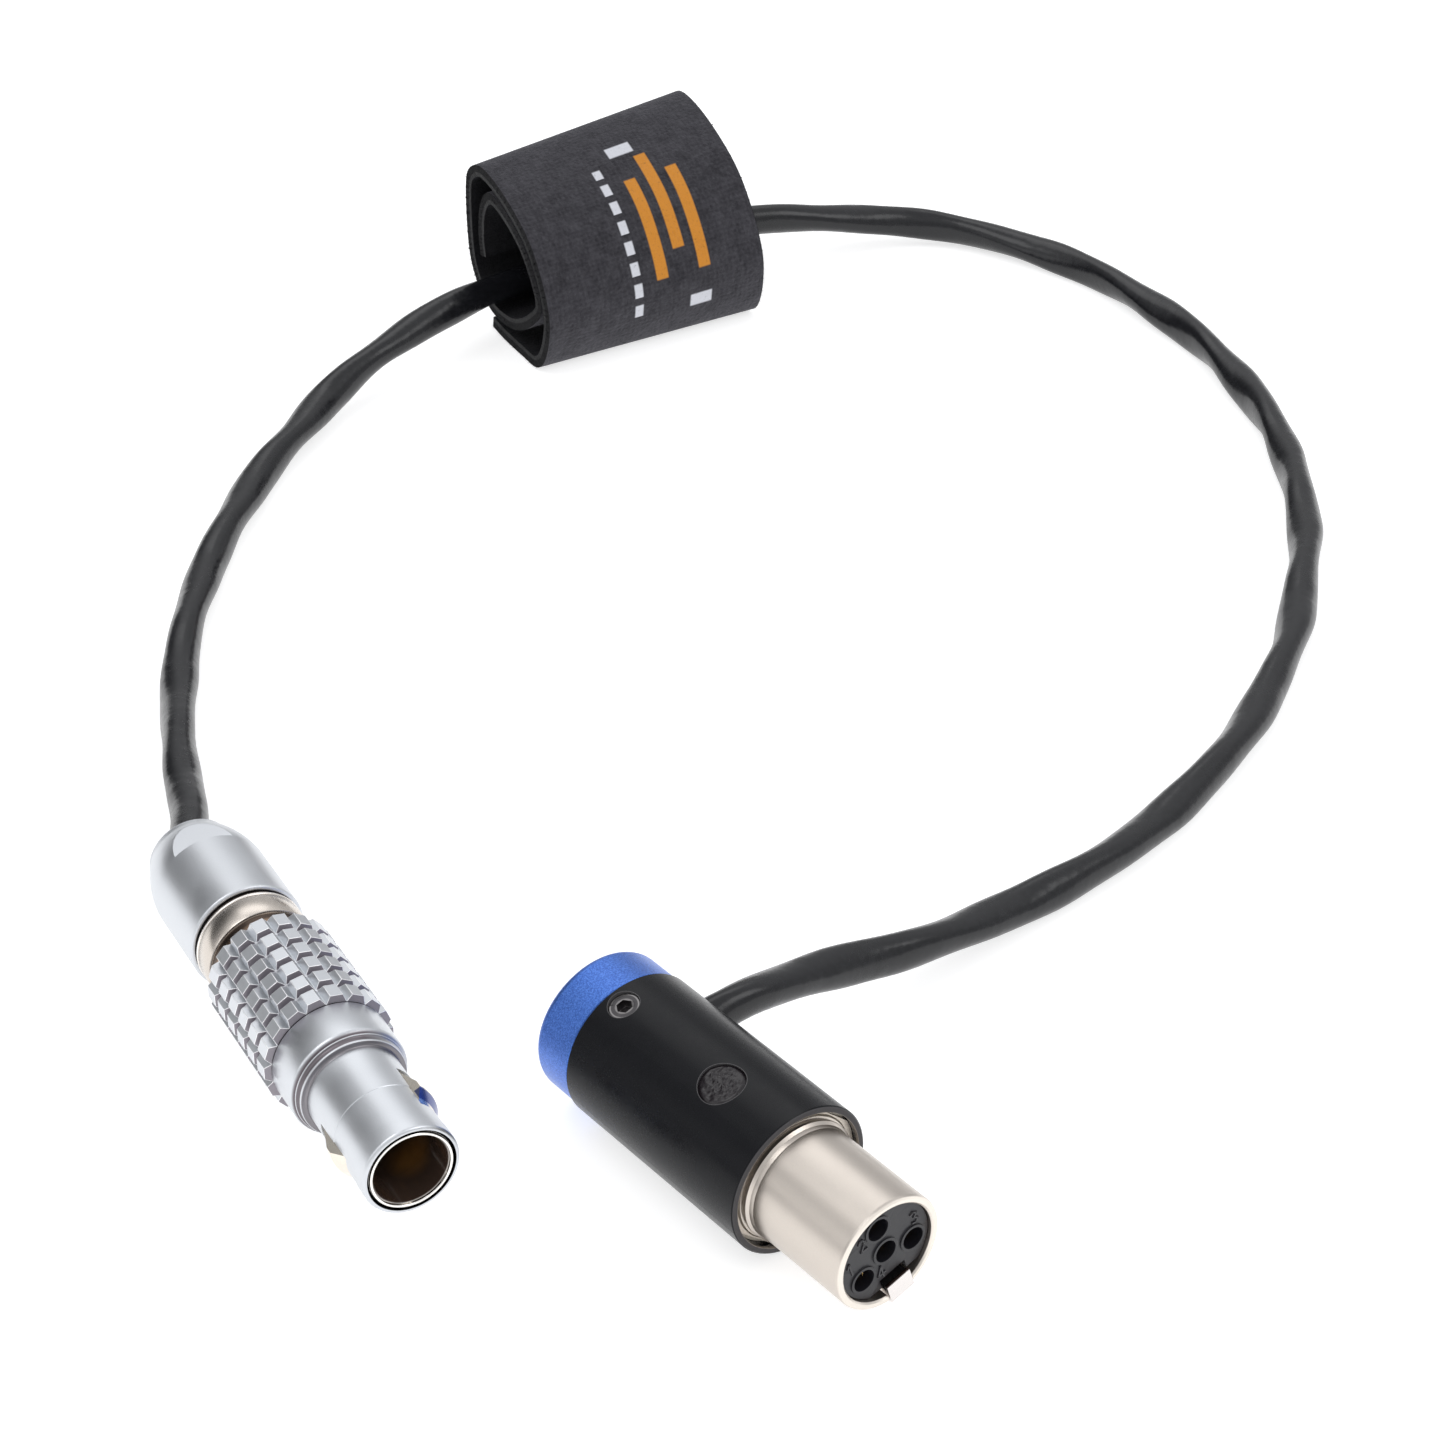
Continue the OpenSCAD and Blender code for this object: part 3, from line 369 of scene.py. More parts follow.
def grip_shell():
    verts, faces = shell_mesh()
    kinds = [0] * len(faces)
    middle = GRIP_AT + GRIP_LEN / 2
    for ring in range(GRIP_RINGS):
        g0 = middle + (ring - GRIP_RINGS / 2) * GRIP_PITCH
        g1 = g0 + GRIP_PITCH
        top = [g0 + GROOVE_W / 2, g1 - GROOVE_W / 2]
        foot = [g0 + GROOVE_W / 8, g1 - GROOVE_W / 8]
        if ring == 0:
            top[0], foot[0] = GRIP_AT + GRIP_END, GRIP_AT + 0.02
        if ring == GRIP_RINGS - 1:
            top[1], foot[1] = GRIP_REAR - GRIP_END, GRIP_REAR - 0.01
        pad_verts, pad_faces, pad_kinds = pad_template(top, foot)
        for col in range(GRIP_COLUMNS):
            a = (col + 0.5) * 2 * math.pi / GRIP_COLUMNS
            faces += [tuple(len(verts) + i for i in f) for f in pad_faces]
            kinds += pad_kinds
            verts += [plug_pt(-h * math.sin(a) - t * math.cos(a), h * math.cos(a) - t * math.sin(a), s)
                      for t, h, s in pad_verts]
    ob = link_mesh("grip_shell", verts, faces, sharp=42)
    for poly, kind in zip(ob.data.polygons, kinds):
        poly.use_smooth = kind in (0, 2)
        # broken edges take the painted-highlight chrome, walls across the axis the painted-shade chrome
        poly.material_index = {2: 1, 3: 2}.get(kind, 0)
    return ob


shell = grip_shell()
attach(shell, "release_sleeve")
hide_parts("plug_outer_shell")


def neck_ring():
    """The nickel neck behind the grip, with its band, fine groove and polished bead before the nut."""
    neck = [(3.40, 19.95), (3.85, 19.93), (NECK_R, 20.08), (NECK_R, NECK_END - 0.05), (4.005, NECK_END)]
    band = [(4.08, NECK_END), (4.15, NECK_END + 0.03), (4.18, NECK_END + 0.09), (4.18, RING_END - 0.74),
            (4.16, RING_END - 0.70), (4.09, RING_END - 0.67), (4.09, RING_END - 0.62)]
    bead = arc(4.02, RING_END - 0.43, 0.17, -75, 60, 8)
    bead += [(4.03, RING_END - 0.20), (4.03, RING_END), (3.33, RING_END)]
    tail = [(3.30, RING_END), (3.30, BODY_END), (2.7, BODY_END), (2.7, 26.0), (3.05, 26.0), (3.05, 23.5)]
    return link_mesh("neck_ring", *lathe(neck + band + bead + tail, plug_pt), sharp=40)


neck = neck_ring()
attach(neck, "cable_assembly")
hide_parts("plug_body")


# ---- Collet nut: a turned cylinder and a bowed rear with two wrench flats ----
def nut_part(profile, flats):
    """Vertices and faces of one turned piece of the nut, with both flats cut off it where asked."""
    verts, faces = lathe(profile, lambda x, y, s: (x, y, s), 180)
    bm = bmesh.new()
    made = [bm.verts.new(v) for v in verts]
    for f in faces:
        bm.faces.new([made[i] for i in f])
    for side in ((1, -1) if flats else ()):
        a = math.radians(NUT_TURN)
        flat = Vector((-math.sin(a), math.cos(a), 0)) * side
        cut = bmesh.ops.bisect_plane(bm, geom=bm.verts[:] + bm.edges[:] + bm.faces[:],
                                     plane_co=flat * NUT_FLATS, plane_no=flat, clear_outer=True)
        rim_edges = [e for e in cut["geom_cut"] if isinstance(e, bmesh.types.BMEdge)]
        bmesh.ops.edgenet_fill(bm, edges=rim_edges)
    return take(bm, plug_pt)


def collet_nut():
    front = [(NUT_BORE_R, NUT_AT + 0.25), (4.06, NUT_AT + 0.22), (4.10, NUT_AT + 0.05), (4.14, NUT_AT)]
    front += arc(NUT_R - 0.22, NUT_AT + 0.22, 0.22, -75, 0, 7)
    front += [(NUT_R, NUT_TAPER), (NUT_BORE_R, NUT_TAPER)]
    bow = [(NUT_R, -0.02), (4.415, 0.3), (4.37, 0.7), (4.31, 1.1), (4.23, 1.5), (4.13, 1.9), (4.02, 2.3),
           (3.89, 2.7), (3.74, 3.1), (3.58, 3.5), (3.42, 3.85)]
    rear = [(NUT_BORE_R, NUT_TAPER + 3.0), (NUT_BORE_R, NUT_TAPER - 0.02)]
    rear += [(r, NUT_TAPER + s) for r, s in bow]
    rear += arc(3.12, NUT_REAR - 0.28, 0.28, 25, 90, 6)
    rear += [(1.75, NUT_REAR), (1.62, NUT_REAR - 0.15), (1.62, NUT_REAR - 1.2)]
    verts, faces = nut_part(front, False)
    more, more_faces = nut_part(rear, True)
    faces += [tuple(i + len(verts) for i in f) for f in more_faces]
    return link_mesh("collet_nut", verts + more, faces, sharp=28)


nut = collet_nut()
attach(nut, "cable_assembly")
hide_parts("plug_collet_nut")


def guide_rim():
    """The guide sleeve's bright front rim, level with the shell's."""
    profile = [(GUIDE_BORE_R, 0.40), (GUIDE_BORE_R, 0.08), (2.855, 0.035), (2.89, 0.01), (3.00, 0.01),
               (3.035, 0.03), (GUIDE_R, 0.07), (GUIDE_R, 0.40)]
    return link_mesh("guide_rim", *lathe(profile, plug_pt), sharp=50)


rim = guide_rim()
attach(rim, "cable_assembly")


# ---- Fixing screw's filled head: a crinkled, nearly flat disc sunk in the housing ----
def screw_fill():
    rings, cols, under = 22, 72, 4.65
    r_max = FIXING_R + 0.02

    def top(x, z):
        share = math.hypot(x, z) / r_max
        p = Vector((x, z, 0.0))
        crinkle = 0.07 * noise.noise(p * 2.3 + Vector((4, 1, 7))) + 0.045 * noise.noise(p * 5.1)
        crinkle += 0.02 * noise.noise(p * 11.0)
        crinkle *= 1 - smooth_step(0.85, 1.0, share)
        return math.sqrt((HOUSING_R - 0.06) ** 2 - x * x) + crinkle - 0.10 * smooth_step(0.86, 1.0, share)

    verts = [conn_pt(0, top(0, 0), FIXING_AT)]
    faces = [(0, 1 + k, 1 + (k + 1) % cols) for k in range(cols)]
    for i in range(1, rings + 2):
        r = r_max * min(i, rings) / rings
        for k in range(cols):
            a = 2 * math.pi * k / cols
            x, z = r * math.cos(a), r * math.sin(a)
            verts.append(conn_pt(x, top(x, z) if i <= rings else under, FIXING_AT + z))
        if i <= rings:
            faces += ring_faces(1 + (i - 1) * cols, 1 + i * cols, cols)
    faces.append(tuple(1 + rings * cols + k for k in range(cols)))
    return link_mesh("fixing_fill", verts, faces, sharp=50)


fill = screw_fill()
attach(fill, "cable_assembly")
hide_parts("conn_fixing_screw")


# ---- Embossed position numbers on the insert's face ----
GLYPHS = {
    "1": [(0.25, 0.75), (0.5, 1.0), (0.5, 0.0)],
    "2": [(0.15, 0.8), (0.3, 0.98), (0.6, 0.98), (0.75, 0.75), (0.6, 0.5), (0.15, 0.0), (0.8, 0.0)],
    "3": [(0.15, 0.9), (0.45, 1.0), (0.75, 0.8), (0.4, 0.53), (0.75, 0.25), (0.45, 0.0), (0.12, 0.1)],
    "4": [(0.6, 0.0), (0.6, 1.0), (0.1, 0.32), (0.85, 0.32)],
}
DIGITS = {"3": (-2.80, 0.72), "2": (1.42, 2.08), "1": (2.82, 0.90), "4": (0.82, -1.52)}
DIGIT_H, DIGIT_W, DIGIT_LINE = 1.0, 0.75, 0.07
BOX_FACES = ((4, 5, 6, 7), (0, 1, 5, 4), (1, 2, 6, 5), (2, 3, 7, 6), (3, 0, 4, 7), (3, 2, 1, 0))


def numbers():
    """Each stroke is a low ridge, wider at its foot."""
    verts, faces = [], []
    for text, (cx, cy) in DIGITS.items():
        stroke = [Vector((cx - (x - 0.45) * DIGIT_W, cy + (y - 0.5) * DIGIT_H)) for x, y in GLYPHS[text]]
        for pa, pb in zip(stroke, stroke[1:]):
            d = (pb - pa).normalized() * DIGIT_LINE
            n = Vector((-d.y, d.x))
            faces += [tuple(len(verts) + i for i in f) for f in BOX_FACES]
            for depth, grow in ((INSERT_DEPTH + 0.03, 1.4), (INSERT_DEPTH - 0.09, 0.8)):
                for q in (pa - d + n * grow, pb + d + n * grow, pb + d - n * grow, pa - d - n * grow):
                    verts.append(conn_pt(q.x, q.y, depth))
    return link_mesh("insert_numbers", verts, faces, smooth=False)


digits = numbers()
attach(digits, "cable_assembly")


# ---- The press tab's turned lip, and a contact's tip in one socket ----
def tab_lip():
    bm = bmesh.new()
    corners = [bm.verts.new((x, y, s)) for s in (LIP_FRONT, LIP_BACK) for x, y in (
        (-LIP_HALF, LIP_LOW), (LIP_HALF, LIP_LOW), (LIP_HALF, LIP_TOP), (-LIP_HALF, LIP_TOP))]
    for f in BOX_FACES:
        bm.faces.new([corners[i] for i in f])
    bmesh.ops.bevel(bm, geom=bm.edges[:], offset=LIP_EDGE, offset_type="OFFSET", segments=3, profile=0.6,
                    affect="EDGES")
    return link_mesh("tab_lip", *take(bm, conn_pt), sharp=60)


def contact_tip():
    """A sliver of a spring finger that shows at the mouth of one socket."""
    steps = 8
    n = steps + 1
    x, y = SOCKET_AT
    verts, faces = [], []
    for r in (0.72, 0.36):
        for s in (0.46, 0.80):
            for k in range(n):
                a = math.radians(-26 + 15 * k / steps)
                curl = 0.05 * math.cos(math.pi * k / steps)
                verts.append(conn_pt(x + r * math.sin(a), y + r * math.cos(a), s + curl))
    for a, b in ((0, n), (n, 3 * n), (3 * n, 2 * n), (2 * n, 0)):
        faces += [(a + k, a + k + 1, b + k + 1, b + k) for k in range(steps)]
    faces += [(k, n + k, 3 * n + k, 2 * n + k) for k in (0, steps)]
    return link_mesh("contact_tip", verts, faces, sharp=40)


lip = tab_lip()
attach(lip, "press_tab")
tip = contact_tip()
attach(tip, "cable_assembly")


# ---- Node material helpers ----
AXES = {"world": (Vector(), Matrix.Identity(3)), "plug": (PLUG_AT, PLUG_M), "conn": (CONN_AT, CONN_M)}


class Mat:
    """A node material with a few short ways to wire it."""

    def __init__(self, name, **sockets):
        self.m = bpy.data.materials.new(name)
        self.m.use_nodes = True
        self.nt = self.m.node_tree
        self.bsdf = self.nt.nodes["Principled BSDF"]
        for k, v in sockets.items():
            self.bsdf.inputs[k.replace("_", " ")].default_value = v

    def node(self, kind, **props):
        n = self.nt.nodes.new(kind)
        for k, v in props.items():
            setattr(n, k, v)
        return n

    def link(self, a, b):
        self.nt.links.new(a, b)

    def put(self, socket, out):
        self.link(out, self.bsdf.inputs[socket])

    def coords(self, where="world"):
        """Place on the object in millimetres: in the world, or along a connector's own axis."""
        at, rot = AXES[where]
        mp = self.node("ShaderNodeMapping", vector_type="TEXTURE")
        mp.inputs["Location"].default_value = at * MM
        mp.inputs["Rotation"].default_value = rot.to_euler("XYZ")
        mp.inputs["Scale"].default_value = (MM, MM, MM)
        self.link(self.node("ShaderNodeTexCoord").outputs["Object"], mp.inputs["Vector"])
        return mp.outputs["Vector"]

    def split(self, vec):
        n = self.node("ShaderNodeSeparateXYZ")
        self.link(vec, n.inputs[0])
        return n.outputs

    def uv(self):
        return self.split(self.node("ShaderNodeTexCoord").outputs["UV"])

    def vector_math(self, op, vec, value, out):
        n = self.node("ShaderNodeVectorMath", operation=op)
        self.link(vec, n.inputs[0])
        n.inputs[1].default_value = value
        return n.outputs[out]

    def noise(self, vec, scale, detail=2.0, rough=0.5):
        n = self.node("ShaderNodeTexNoise")
        self.link(vec, n.inputs["Vector"])
        for k, v in (("Scale", scale), ("Detail", detail), ("Roughness", rough)):
            n.inputs[k].default_value = v
        return n.outputs["Fac"]

    def ramp(self, fac, stops):
        r = self.node("ShaderNodeValToRGB")
        e = r.color_ramp.elements
        e.remove(e[-1])
        e[0].position, e[0].color = stops[0][0], (*stops[0][1], 1)
        for p, c in stops[1:]:
            e.new(p).color = (*c, 1)
        self.link(fac, r.inputs["Fac"])
        return r.outputs["Color"]

    def span(self, fac, lo, hi, a=0.0, b=1.0, smooth=False):
        """The value brought from a..b to lo..hi, and held at the ends."""
        r = self.node("ShaderNodeMapRange")
        if smooth:
            r.interpolation_type = "SMOOTHSTEP"
        self.link(fac, r.inputs["Value"])
        for k, v in (("From Min", a), ("From Max", b), ("To Min", lo), ("To Max", hi)):
            r.inputs[k].default_value = v
        return r.outputs["Result"]

    def rise(self, value, a, b, top=1.0, smooth=False):
        """0 up to a, and top from b on."""
        return self.span(value, 0.0, top, a, b, smooth)

    def fall(self, value, a, b, top=1.0, smooth=False):
        """Top up to a, and 0 from b on."""
        return self.span(value, top, 0.0, a, b, smooth)

    def band(self, value, a, b, c, d):
        """1 between b and c, and 0 outside a and d."""
        return self.times(self.rise(value, a, b), self.fall(value, c, d))

    def math(self, op, a, b=None):
        n = self.node("ShaderNodeMath", operation=op)
        for i, v in enumerate((a, b)):
            if isinstance(v, (int, float)):
                n.inputs[i].default_value = v
            elif v is not None:
                self.link(v, n.inputs[i])
        return n.outputs[0]

    def times(self, *parts):
        return functools.reduce(lambda a, b: self.math("MULTIPLY", a, b), parts)

    def most(self, *parts):
        return functools.reduce(lambda a, b: self.math("MAXIMUM", a, b), parts)

    def less(self, a, b):
        return self.math("SUBTRACT", a, b)

    def shares(self, *parts):
        """The sum of (value, share) pairs."""
        return functools.reduce(lambda a, b: self.math("ADD", a, b), [self.times(v, w) for v, w in parts])

    def radius(self, x, y):
        return self.math("SQRT", self.math("ADD", self.times(x, x), self.times(y, y)))

    def blend(self, fac, a, b):
        """Colour b over colour a by a factor; each is a socket or a colour."""
        n = self.node("ShaderNodeMix", data_type="RGBA")
        self.link(fac, n.inputs["Factor"])
        for socket, v in ((n.inputs[6], a), (n.inputs[7], b)):
            if isinstance(v, tuple):
                socket.default_value = (*v, 1)
            else:
                self.link(v, socket)
        return n.outputs[2]

    def bump(self, height, strength=0.2, distance=0.05, under=None):
        b = self.node("ShaderNodeBump")
        b.inputs["Strength"].default_value = strength
        b.inputs["Distance"].default_value = distance * MM
        self.link(height, b.inputs["Height"])
        if under is not None:
            self.link(under, b.inputs["Normal"])
        return b.outputs["Normal"]


def shaded(tint, var):
    """A colour that much darker, and that much lighter."""
    return tuple(c * (1 - var) for c in tint), tuple(min(1.0, c * (1 + var)) for c in tint)


def metal(name, where, tint, rough, speck=0.06, ring=0.0, grain=7.0, var=0.05, paint=None):
    """Plated metal with a fine blasted or turned surface; paint changes its colour by place."""
    m = Mat(name, Metallic=1.0)
    vec = m.coords(where)
    fine = m.noise(vec, grain, 2.0, 0.6)
    wide = m.noise(vec, 0.35, 3.0, 0.55)
    dark, light = shaded(tint, var)
    colour = m.ramp(m.shares((fine, 0.6), (wide, 0.4)), [(0.3, dark), (0.7, light)])
    m.put("Base Color", paint(m, vec, colour) if paint else colour)
    cloud = m.shares((fine, 0.5), (wide, 0.5))
    m.put("Roughness", m.span(cloud, max(0.03, rough - 0.04), rough + 0.05, 0.3, 0.7))
    normal = m.bump(fine, speck, 0.02)
    if ring:
        along = m.vector_math("MULTIPLY", vec, (0.02, 0.02, 9.0), "Vector")
        normal = m.bump(m.noise(along, 1.0, 3.0, 0.6), ring, 0.02, normal)
    m.put("Normal", normal)
    return m.m


def moulded(name, where, tint, rough, spec=0.5, speck=0.05, grain=5.0, var=0.15, coat=0.0, paint=None):
    """Moulded plastic or paint, finely speckled; paint changes its colour by place."""
    m = Mat(name, Specular_IOR_Level=spec, Coat_Weight=coat, Coat_Roughness=0.25)
    vec = m.coords(where)
    fine = m.noise(vec, grain, 3.0, 0.6)
    cloud = m.shares((fine, 0.5), (m.noise(vec, 0.5, 2.0, 0.5), 0.5))
    dark, light = shaded(tint, var)
    colour = m.ramp(cloud, [(0.3, dark), (0.7, light)])
    m.put("Base Color", paint(m, vec, colour) if paint else colour)
    m.put("Roughness", m.span(cloud, rough - 0.05, rough + 0.06, 0.3, 0.7))
    m.put("Normal", m.bump(fine, speck, 0.03))
    return m.m


# ---- Tones by place, most of them painted shade, painted highlights and painted reflections: each takes a material, a place and the plain colour ----
# Near-black painted into narrow gaps as painted shade
GAP_PAINTED_SHADE = (0.012, 0.011, 0.011)


def bore_painted_shade_and_glow(m, vec, colour):
    """Painted shade and light: dark brown inside the guide's bore, painted gap shade on its outside, and a
    painted amber glow where light reaches it.
    """
    x, y, s = m.split(vec)
    r = m.radius(x, y)
    # painted shade: dark brown inside the bore, and near-black painted shade on its outside in the gap
    inside = m.most(m.times(m.fall(r, 2.96, 3.0), m.rise(s, 0.252, 0.30)),
                    m.fall(r, GUIDE_BORE_R - 0.06, GUIDE_BORE_R + 0.02))
    outside = m.rise(r, GUIDE_R, GUIDE_R + 0.02)
    # painted light: an amber glow round one point in the bore
    away = m.vector_math("DISTANCE", vec, (-1.6, -2.3, 4.0), "Value")
    glow = m.fall(away, 0.3, 2.3, smooth=True)
    brown = m.blend(glow, (0.060, 0.038, 0.028), (0.24, 0.115, 0.032))
    m.put("Metallic", m.less(1.0, m.times(m.most(inside, outside), 0.85)))
    return m.blend(outside, m.blend(inside, colour, brown), GAP_PAINTED_SHADE)


def shell_painted_shade(m, vec, colour):
    """Painted shade in the seams: the gap at the front rim, the fillet at the nose's foot, the groove before
    the collar and the seam at the collar's rear; the groove's purple-grey is also a painted reflection of the
    nose, fainter on one side.
    """
    x, y, s = m.split(vec)
    gap = m.fall(m.radius(x, y), RIM_R, RIM_R + 0.018)
    foot = m.times(m.rise(s, NOSE_END - 0.32, NOSE_END - 0.08, 0.75, smooth=True),
                   m.fall(s, NOSE_END, NOSE_END + 0.03))
    face = m.times(m.rise(s, NOSE_END + 0.12, NOSE_END + 0.18, 0.9),
                   m.fall(s, COLLAR_FRONT - 0.07, COLLAR_FRONT - 0.04))
    turned = m.times(m.rise(s, COLLAR_FRONT + 0.03, COLLAR_FRONT + 0.06, 0.95),
                     m.fall(s, COLLAR_FRONT + 0.09, COLLAR_FRONT + 0.31, smooth=True))
    groove = m.times(m.most(face, turned), m.span(x, 0.30, 1.0, -3.4, -1.2))
    seam = m.band(s, COLLAR_REAR - 0.095, COLLAR_REAR - 0.08, COLLAR_REAR - 0.01, COLLAR_REAR + 0.01)
    # painted shade: purple-grey in the fillet, groove and seam, and black in the rim gap
    toned = m.blend(m.most(foot, groove, seam), colour, (0.120, 0.098, 0.110))
    return m.blend(gap, toned, GAP_PAINTED_SHADE)


def neck_painted_reflections(m, vec, colour):
    """Painted reflections: brown where the neck mirrors the grip and the nut and in its fine groove, and a
    painted highlight on the bead.
    """
    s = m.split(vec)[2]
    near_grip = m.fall(s, NECK_END - 0.1, NECK_END + 0.02)
    near_nut = m.rise(s, RING_END - 0.28, RING_END - 0.20)
    groove = m.band(s, RING_END - 0.72, RING_END - 0.68, RING_END - 0.61, RING_END - 0.58)
    bead = m.band(s, RING_END - 0.56, RING_END - 0.52, RING_END - 0.34, RING_END - 0.30)
    # painted reflections of the grip and the nut in tan and brown, and a painted highlight on the bead
    tan = m.times(m.fall(s, 25.5, 25.9), near_grip)
    brown = m.blend(tan, (0.085, 0.062, 0.050), (0.36, 0.25, 0.18))
    bright = m.blend(bead, colour, (0.95, 0.90, 0.85))
    return m.blend(m.most(near_grip, near_nut, groove), bright, brown)


def latch_painted_violet_reflection(m, vec, colour):
    """Painted reflection: the right hook's front ramp mirrors a violet-blue tone."""
    x, y, s = m.split(vec)
    ramp_part = m.times(m.fall(s, 4.50, 4.58), m.rise(m.radius(x, y), 3.50, 3.56))
    return m.blend(ramp_part, colour, (0.13, 0.15, 0.30))


def edge_wear_and_painted_highlights(m, vec, colour):
    """Lighter lines round both screw holes and along the housing's rims, partly wear and partly painted edge
    highlights, and a beige painted reflection inside at its front.
    """
    x, y, s = m.split(vec)
    r = m.radius(x, y)
    # lighter lines: partly wear, partly painted edge highlights
    lines = m.most(m.fall(s, HOUSING_FRONT + 0.03, HOUSING_FRONT + 0.07),
                   m.rise(s, HOUSING_END - 0.04, HOUSING_END - 0.015, 0.5))
    for at, hole_r in ((FIXING_AT, FIXING_R), (GRUB_AT, GRUB_R)):
        away = m.radius(x, m.less(s, at))
        lines = m.most(lines, m.times(m.fall(away, hole_r + 0.08, hole_r + 0.11), m.rise(y, 4.9, 5.0)))
    face = m.times(m.fall(s, HOUSING_FRONT + 0.2, HOUSING_FRONT + 0.3), m.fall(r, 5.60, 5.66))
    m.put("Specular IOR Level", m.span(face, 0.18, 0.03))
    # painted reflection: beige inside the housing's front, where it mirrors the flange
    inner = m.times(face, m.fall(r, 5.20, 5.26))
    return m.blend(inner, m.blend(lines, colour, (0.085, 0.082, 0.085)), (0.40, 0.355, 0.31))


def flange_painted_highlights(m, vec, colour):
    """Painted highlights: a paler rim at the front, and a paler flange behind the housing's lip as a painted
    reflection.
    """
    x, y, s = m.split(vec)
    # painted reflection: the flange painted cream and made less metallic
    flange = m.times(m.rise(s, HOUSING_FRONT + 0.4, HOUSING_FRONT + 0.52), m.rise(m.radius(x, y), 4.60, 4.72))
    m.put("Metallic", m.less(1.0, m.times(flange, 0.7)))
    rim_toned = m.blend(m.fall(s, 0.05, 0.14, 0.75), colour, (0.88, 0.82, 0.74))
    return m.blend(flange, rim_toned, (0.80, 0.74, 0.64))


def grub_painted_highlights(m, vec, colour):
    """Painted highlights: bright lines round the grub screw's rim and its hexagon."""
    x, y, s = m.split(vec)
    away = m.radius(x, m.less(s, GRUB_AT))
    # painted highlights on the screw's rim and hexagon edges
    wear_and_highlight = m.most(m.band(away, 0.94, 0.98, 1.04, 1.08), m.times(m.band(away, 0.50, 0.54, 0.64, 0.70), 0.8))
    return m.blend(wear_and_highlight, colour, (0.25, 0.24, 0.24))


def ring_tone(m, vec, colour):
    """The front ring is bare metal outside, and near-black next to the barrel and on its +y side."""
    x, y, s = m.split(vec)
    black = m.most(m.fall(m.radius(x, y), 4.66, 4.72), m.rise(y, 3.6, 4.6))
    m.put("Metallic", m.less(0.75, m.times(black, 0.75)))
    return m.blend(black, colour, (0.020, 0.016, 0.014))


def tab_painted_reflection(m, vec, colour):
    """Painted reflection: the tab's inner side mirrors the dark keyway in brown."""
    x, y, s = m.split(vec)
    inner = m.times(m.rise(y, LIP_TOP - 0.05, LIP_TOP - 0.02), m.rise(s, LIP_FRONT + 0.02, LIP_FRONT + 0.05))
    return m.blend(inner, colour, (0.20, 0.13, 0.105))


def cap_seam(m, vec, colour):
    """A dark line where the end cap meets the housing."""
    seam = m.fall(m.split(vec)[2], HOUSING_END + 0.07, HOUSING_END + 0.13)
    return m.blend(seam, colour, (0.004, 0.010, 0.045))


# ---- Materials ----
CHROME = (0.66, 0.68, 0.71)
WARM_CHROME = (0.86, 0.80, 0.70)
satin_chrome = metal("satin_chrome", "plug", CHROME, 0.37, speck=0.16, grain=9.0, var=0.03, paint=shell_painted_shade)
# Lit and shaded copies of the chrome for the grip pads: a painted highlight on broken edges, painted shade on
# walls across the axis
chrome_painted_highlight = metal("chrome_painted_highlight", "plug", (0.97, 0.97, 0.98), 0.45, speck=0.04, grain=9.0, var=0.02)
chrome_painted_shade = metal("chrome_painted_shade", "plug", (0.31, 0.29, 0.32), 0.50, speck=0.10, grain=9.0, var=0.06)
nut_chrome = metal("nut_chrome", "plug", CHROME, 0.38, speck=0.16, grain=9.0, var=0.03)
guide_chrome = metal("bright_chrome", "plug", (0.84, 0.83, 0.81), 0.12, speck=0.03, ring=0.1, paint=bore_painted_shade_and_glow)
rim_chrome = metal("rim_chrome", "plug", (0.93, 0.90, 0.86), 0.10, speck=0.03)
neck_nickel = metal("neck_nickel", "plug", (0.64, 0.585, 0.53), 0.26, speck=0.04, ring=0.2, paint=neck_painted_reflections)
latch_chrome = metal("latch_chrome", "plug", WARM_CHROME, 0.16, speck=0.05)
# the right latch's chrome, with a painted violet-blue reflection on its ramp
latch_chrome_painted_reflection = metal("latch_chrome_right", "plug", WARM_CHROME, 0.16, speck=0.05, paint=latch_painted_violet_reflection)
brown_insulator = moulded("brown_insulator", "plug", (0.10, 0.045, 0.012), 0.35, coat=0.2)
gold = metal("gold_plate", "world", (0.83, 0.56, 0.20), 0.20, speck=0.03)
brass = metal("brass_part", "world", (0.66, 0.52, 0.28), 0.30, speck=0.05)
wire = moulded("wire_insulation", "world", (0.35, 0.07, 0.06), 0.45)
steel = metal("plain_steel", "world", (0.50, 0.50, 0.50), 0.3)
barrel_nickel = metal("barrel_nickel", "conn", (0.62, 0.565, 0.51), 0.33, speck=0.05, ring=0.22, var=0.03,
                      paint=flange_painted_highlights)
tab_nickel = metal("tab_nickel", "conn", (0.80, 0.76, 0.74), 0.24, speck=0.05, var=0.03, paint=tab_painted_reflection)
front_ring = metal("front_ring", "conn", (0.66, 0.60, 0.53), 0.42, speck=0.08, grain=5.0, var=0.12,
                   paint=ring_tone)
dark_steel = metal("dark_steel", "conn", (0.075, 0.072, 0.075), 0.30, speck=0.1, paint=grub_painted_highlights)
insert_plastic = moulded("insert_plastic", "conn", (0.0100, 0.0098, 0.0130), 0.38, speck=0.10)
number_plastic = moulded("number_plastic", "conn", (0.016, 0.015, 0.019), 0.16, speck=0.05)
housing_paint = moulded("housing_paint", "conn", (0.0040, 0.0043, 0.0060), 0.27, spec=0.18, speck=0.02,
                        grain=3.0, paint=edge_wear_and_painted_highlights)
fill_paint = moulded("screw_fill", "conn", (0.0085, 0.0058, 0.0080), 0.27, spec=0.45, speck=0.30, grain=4.0,
                     var=0.2)


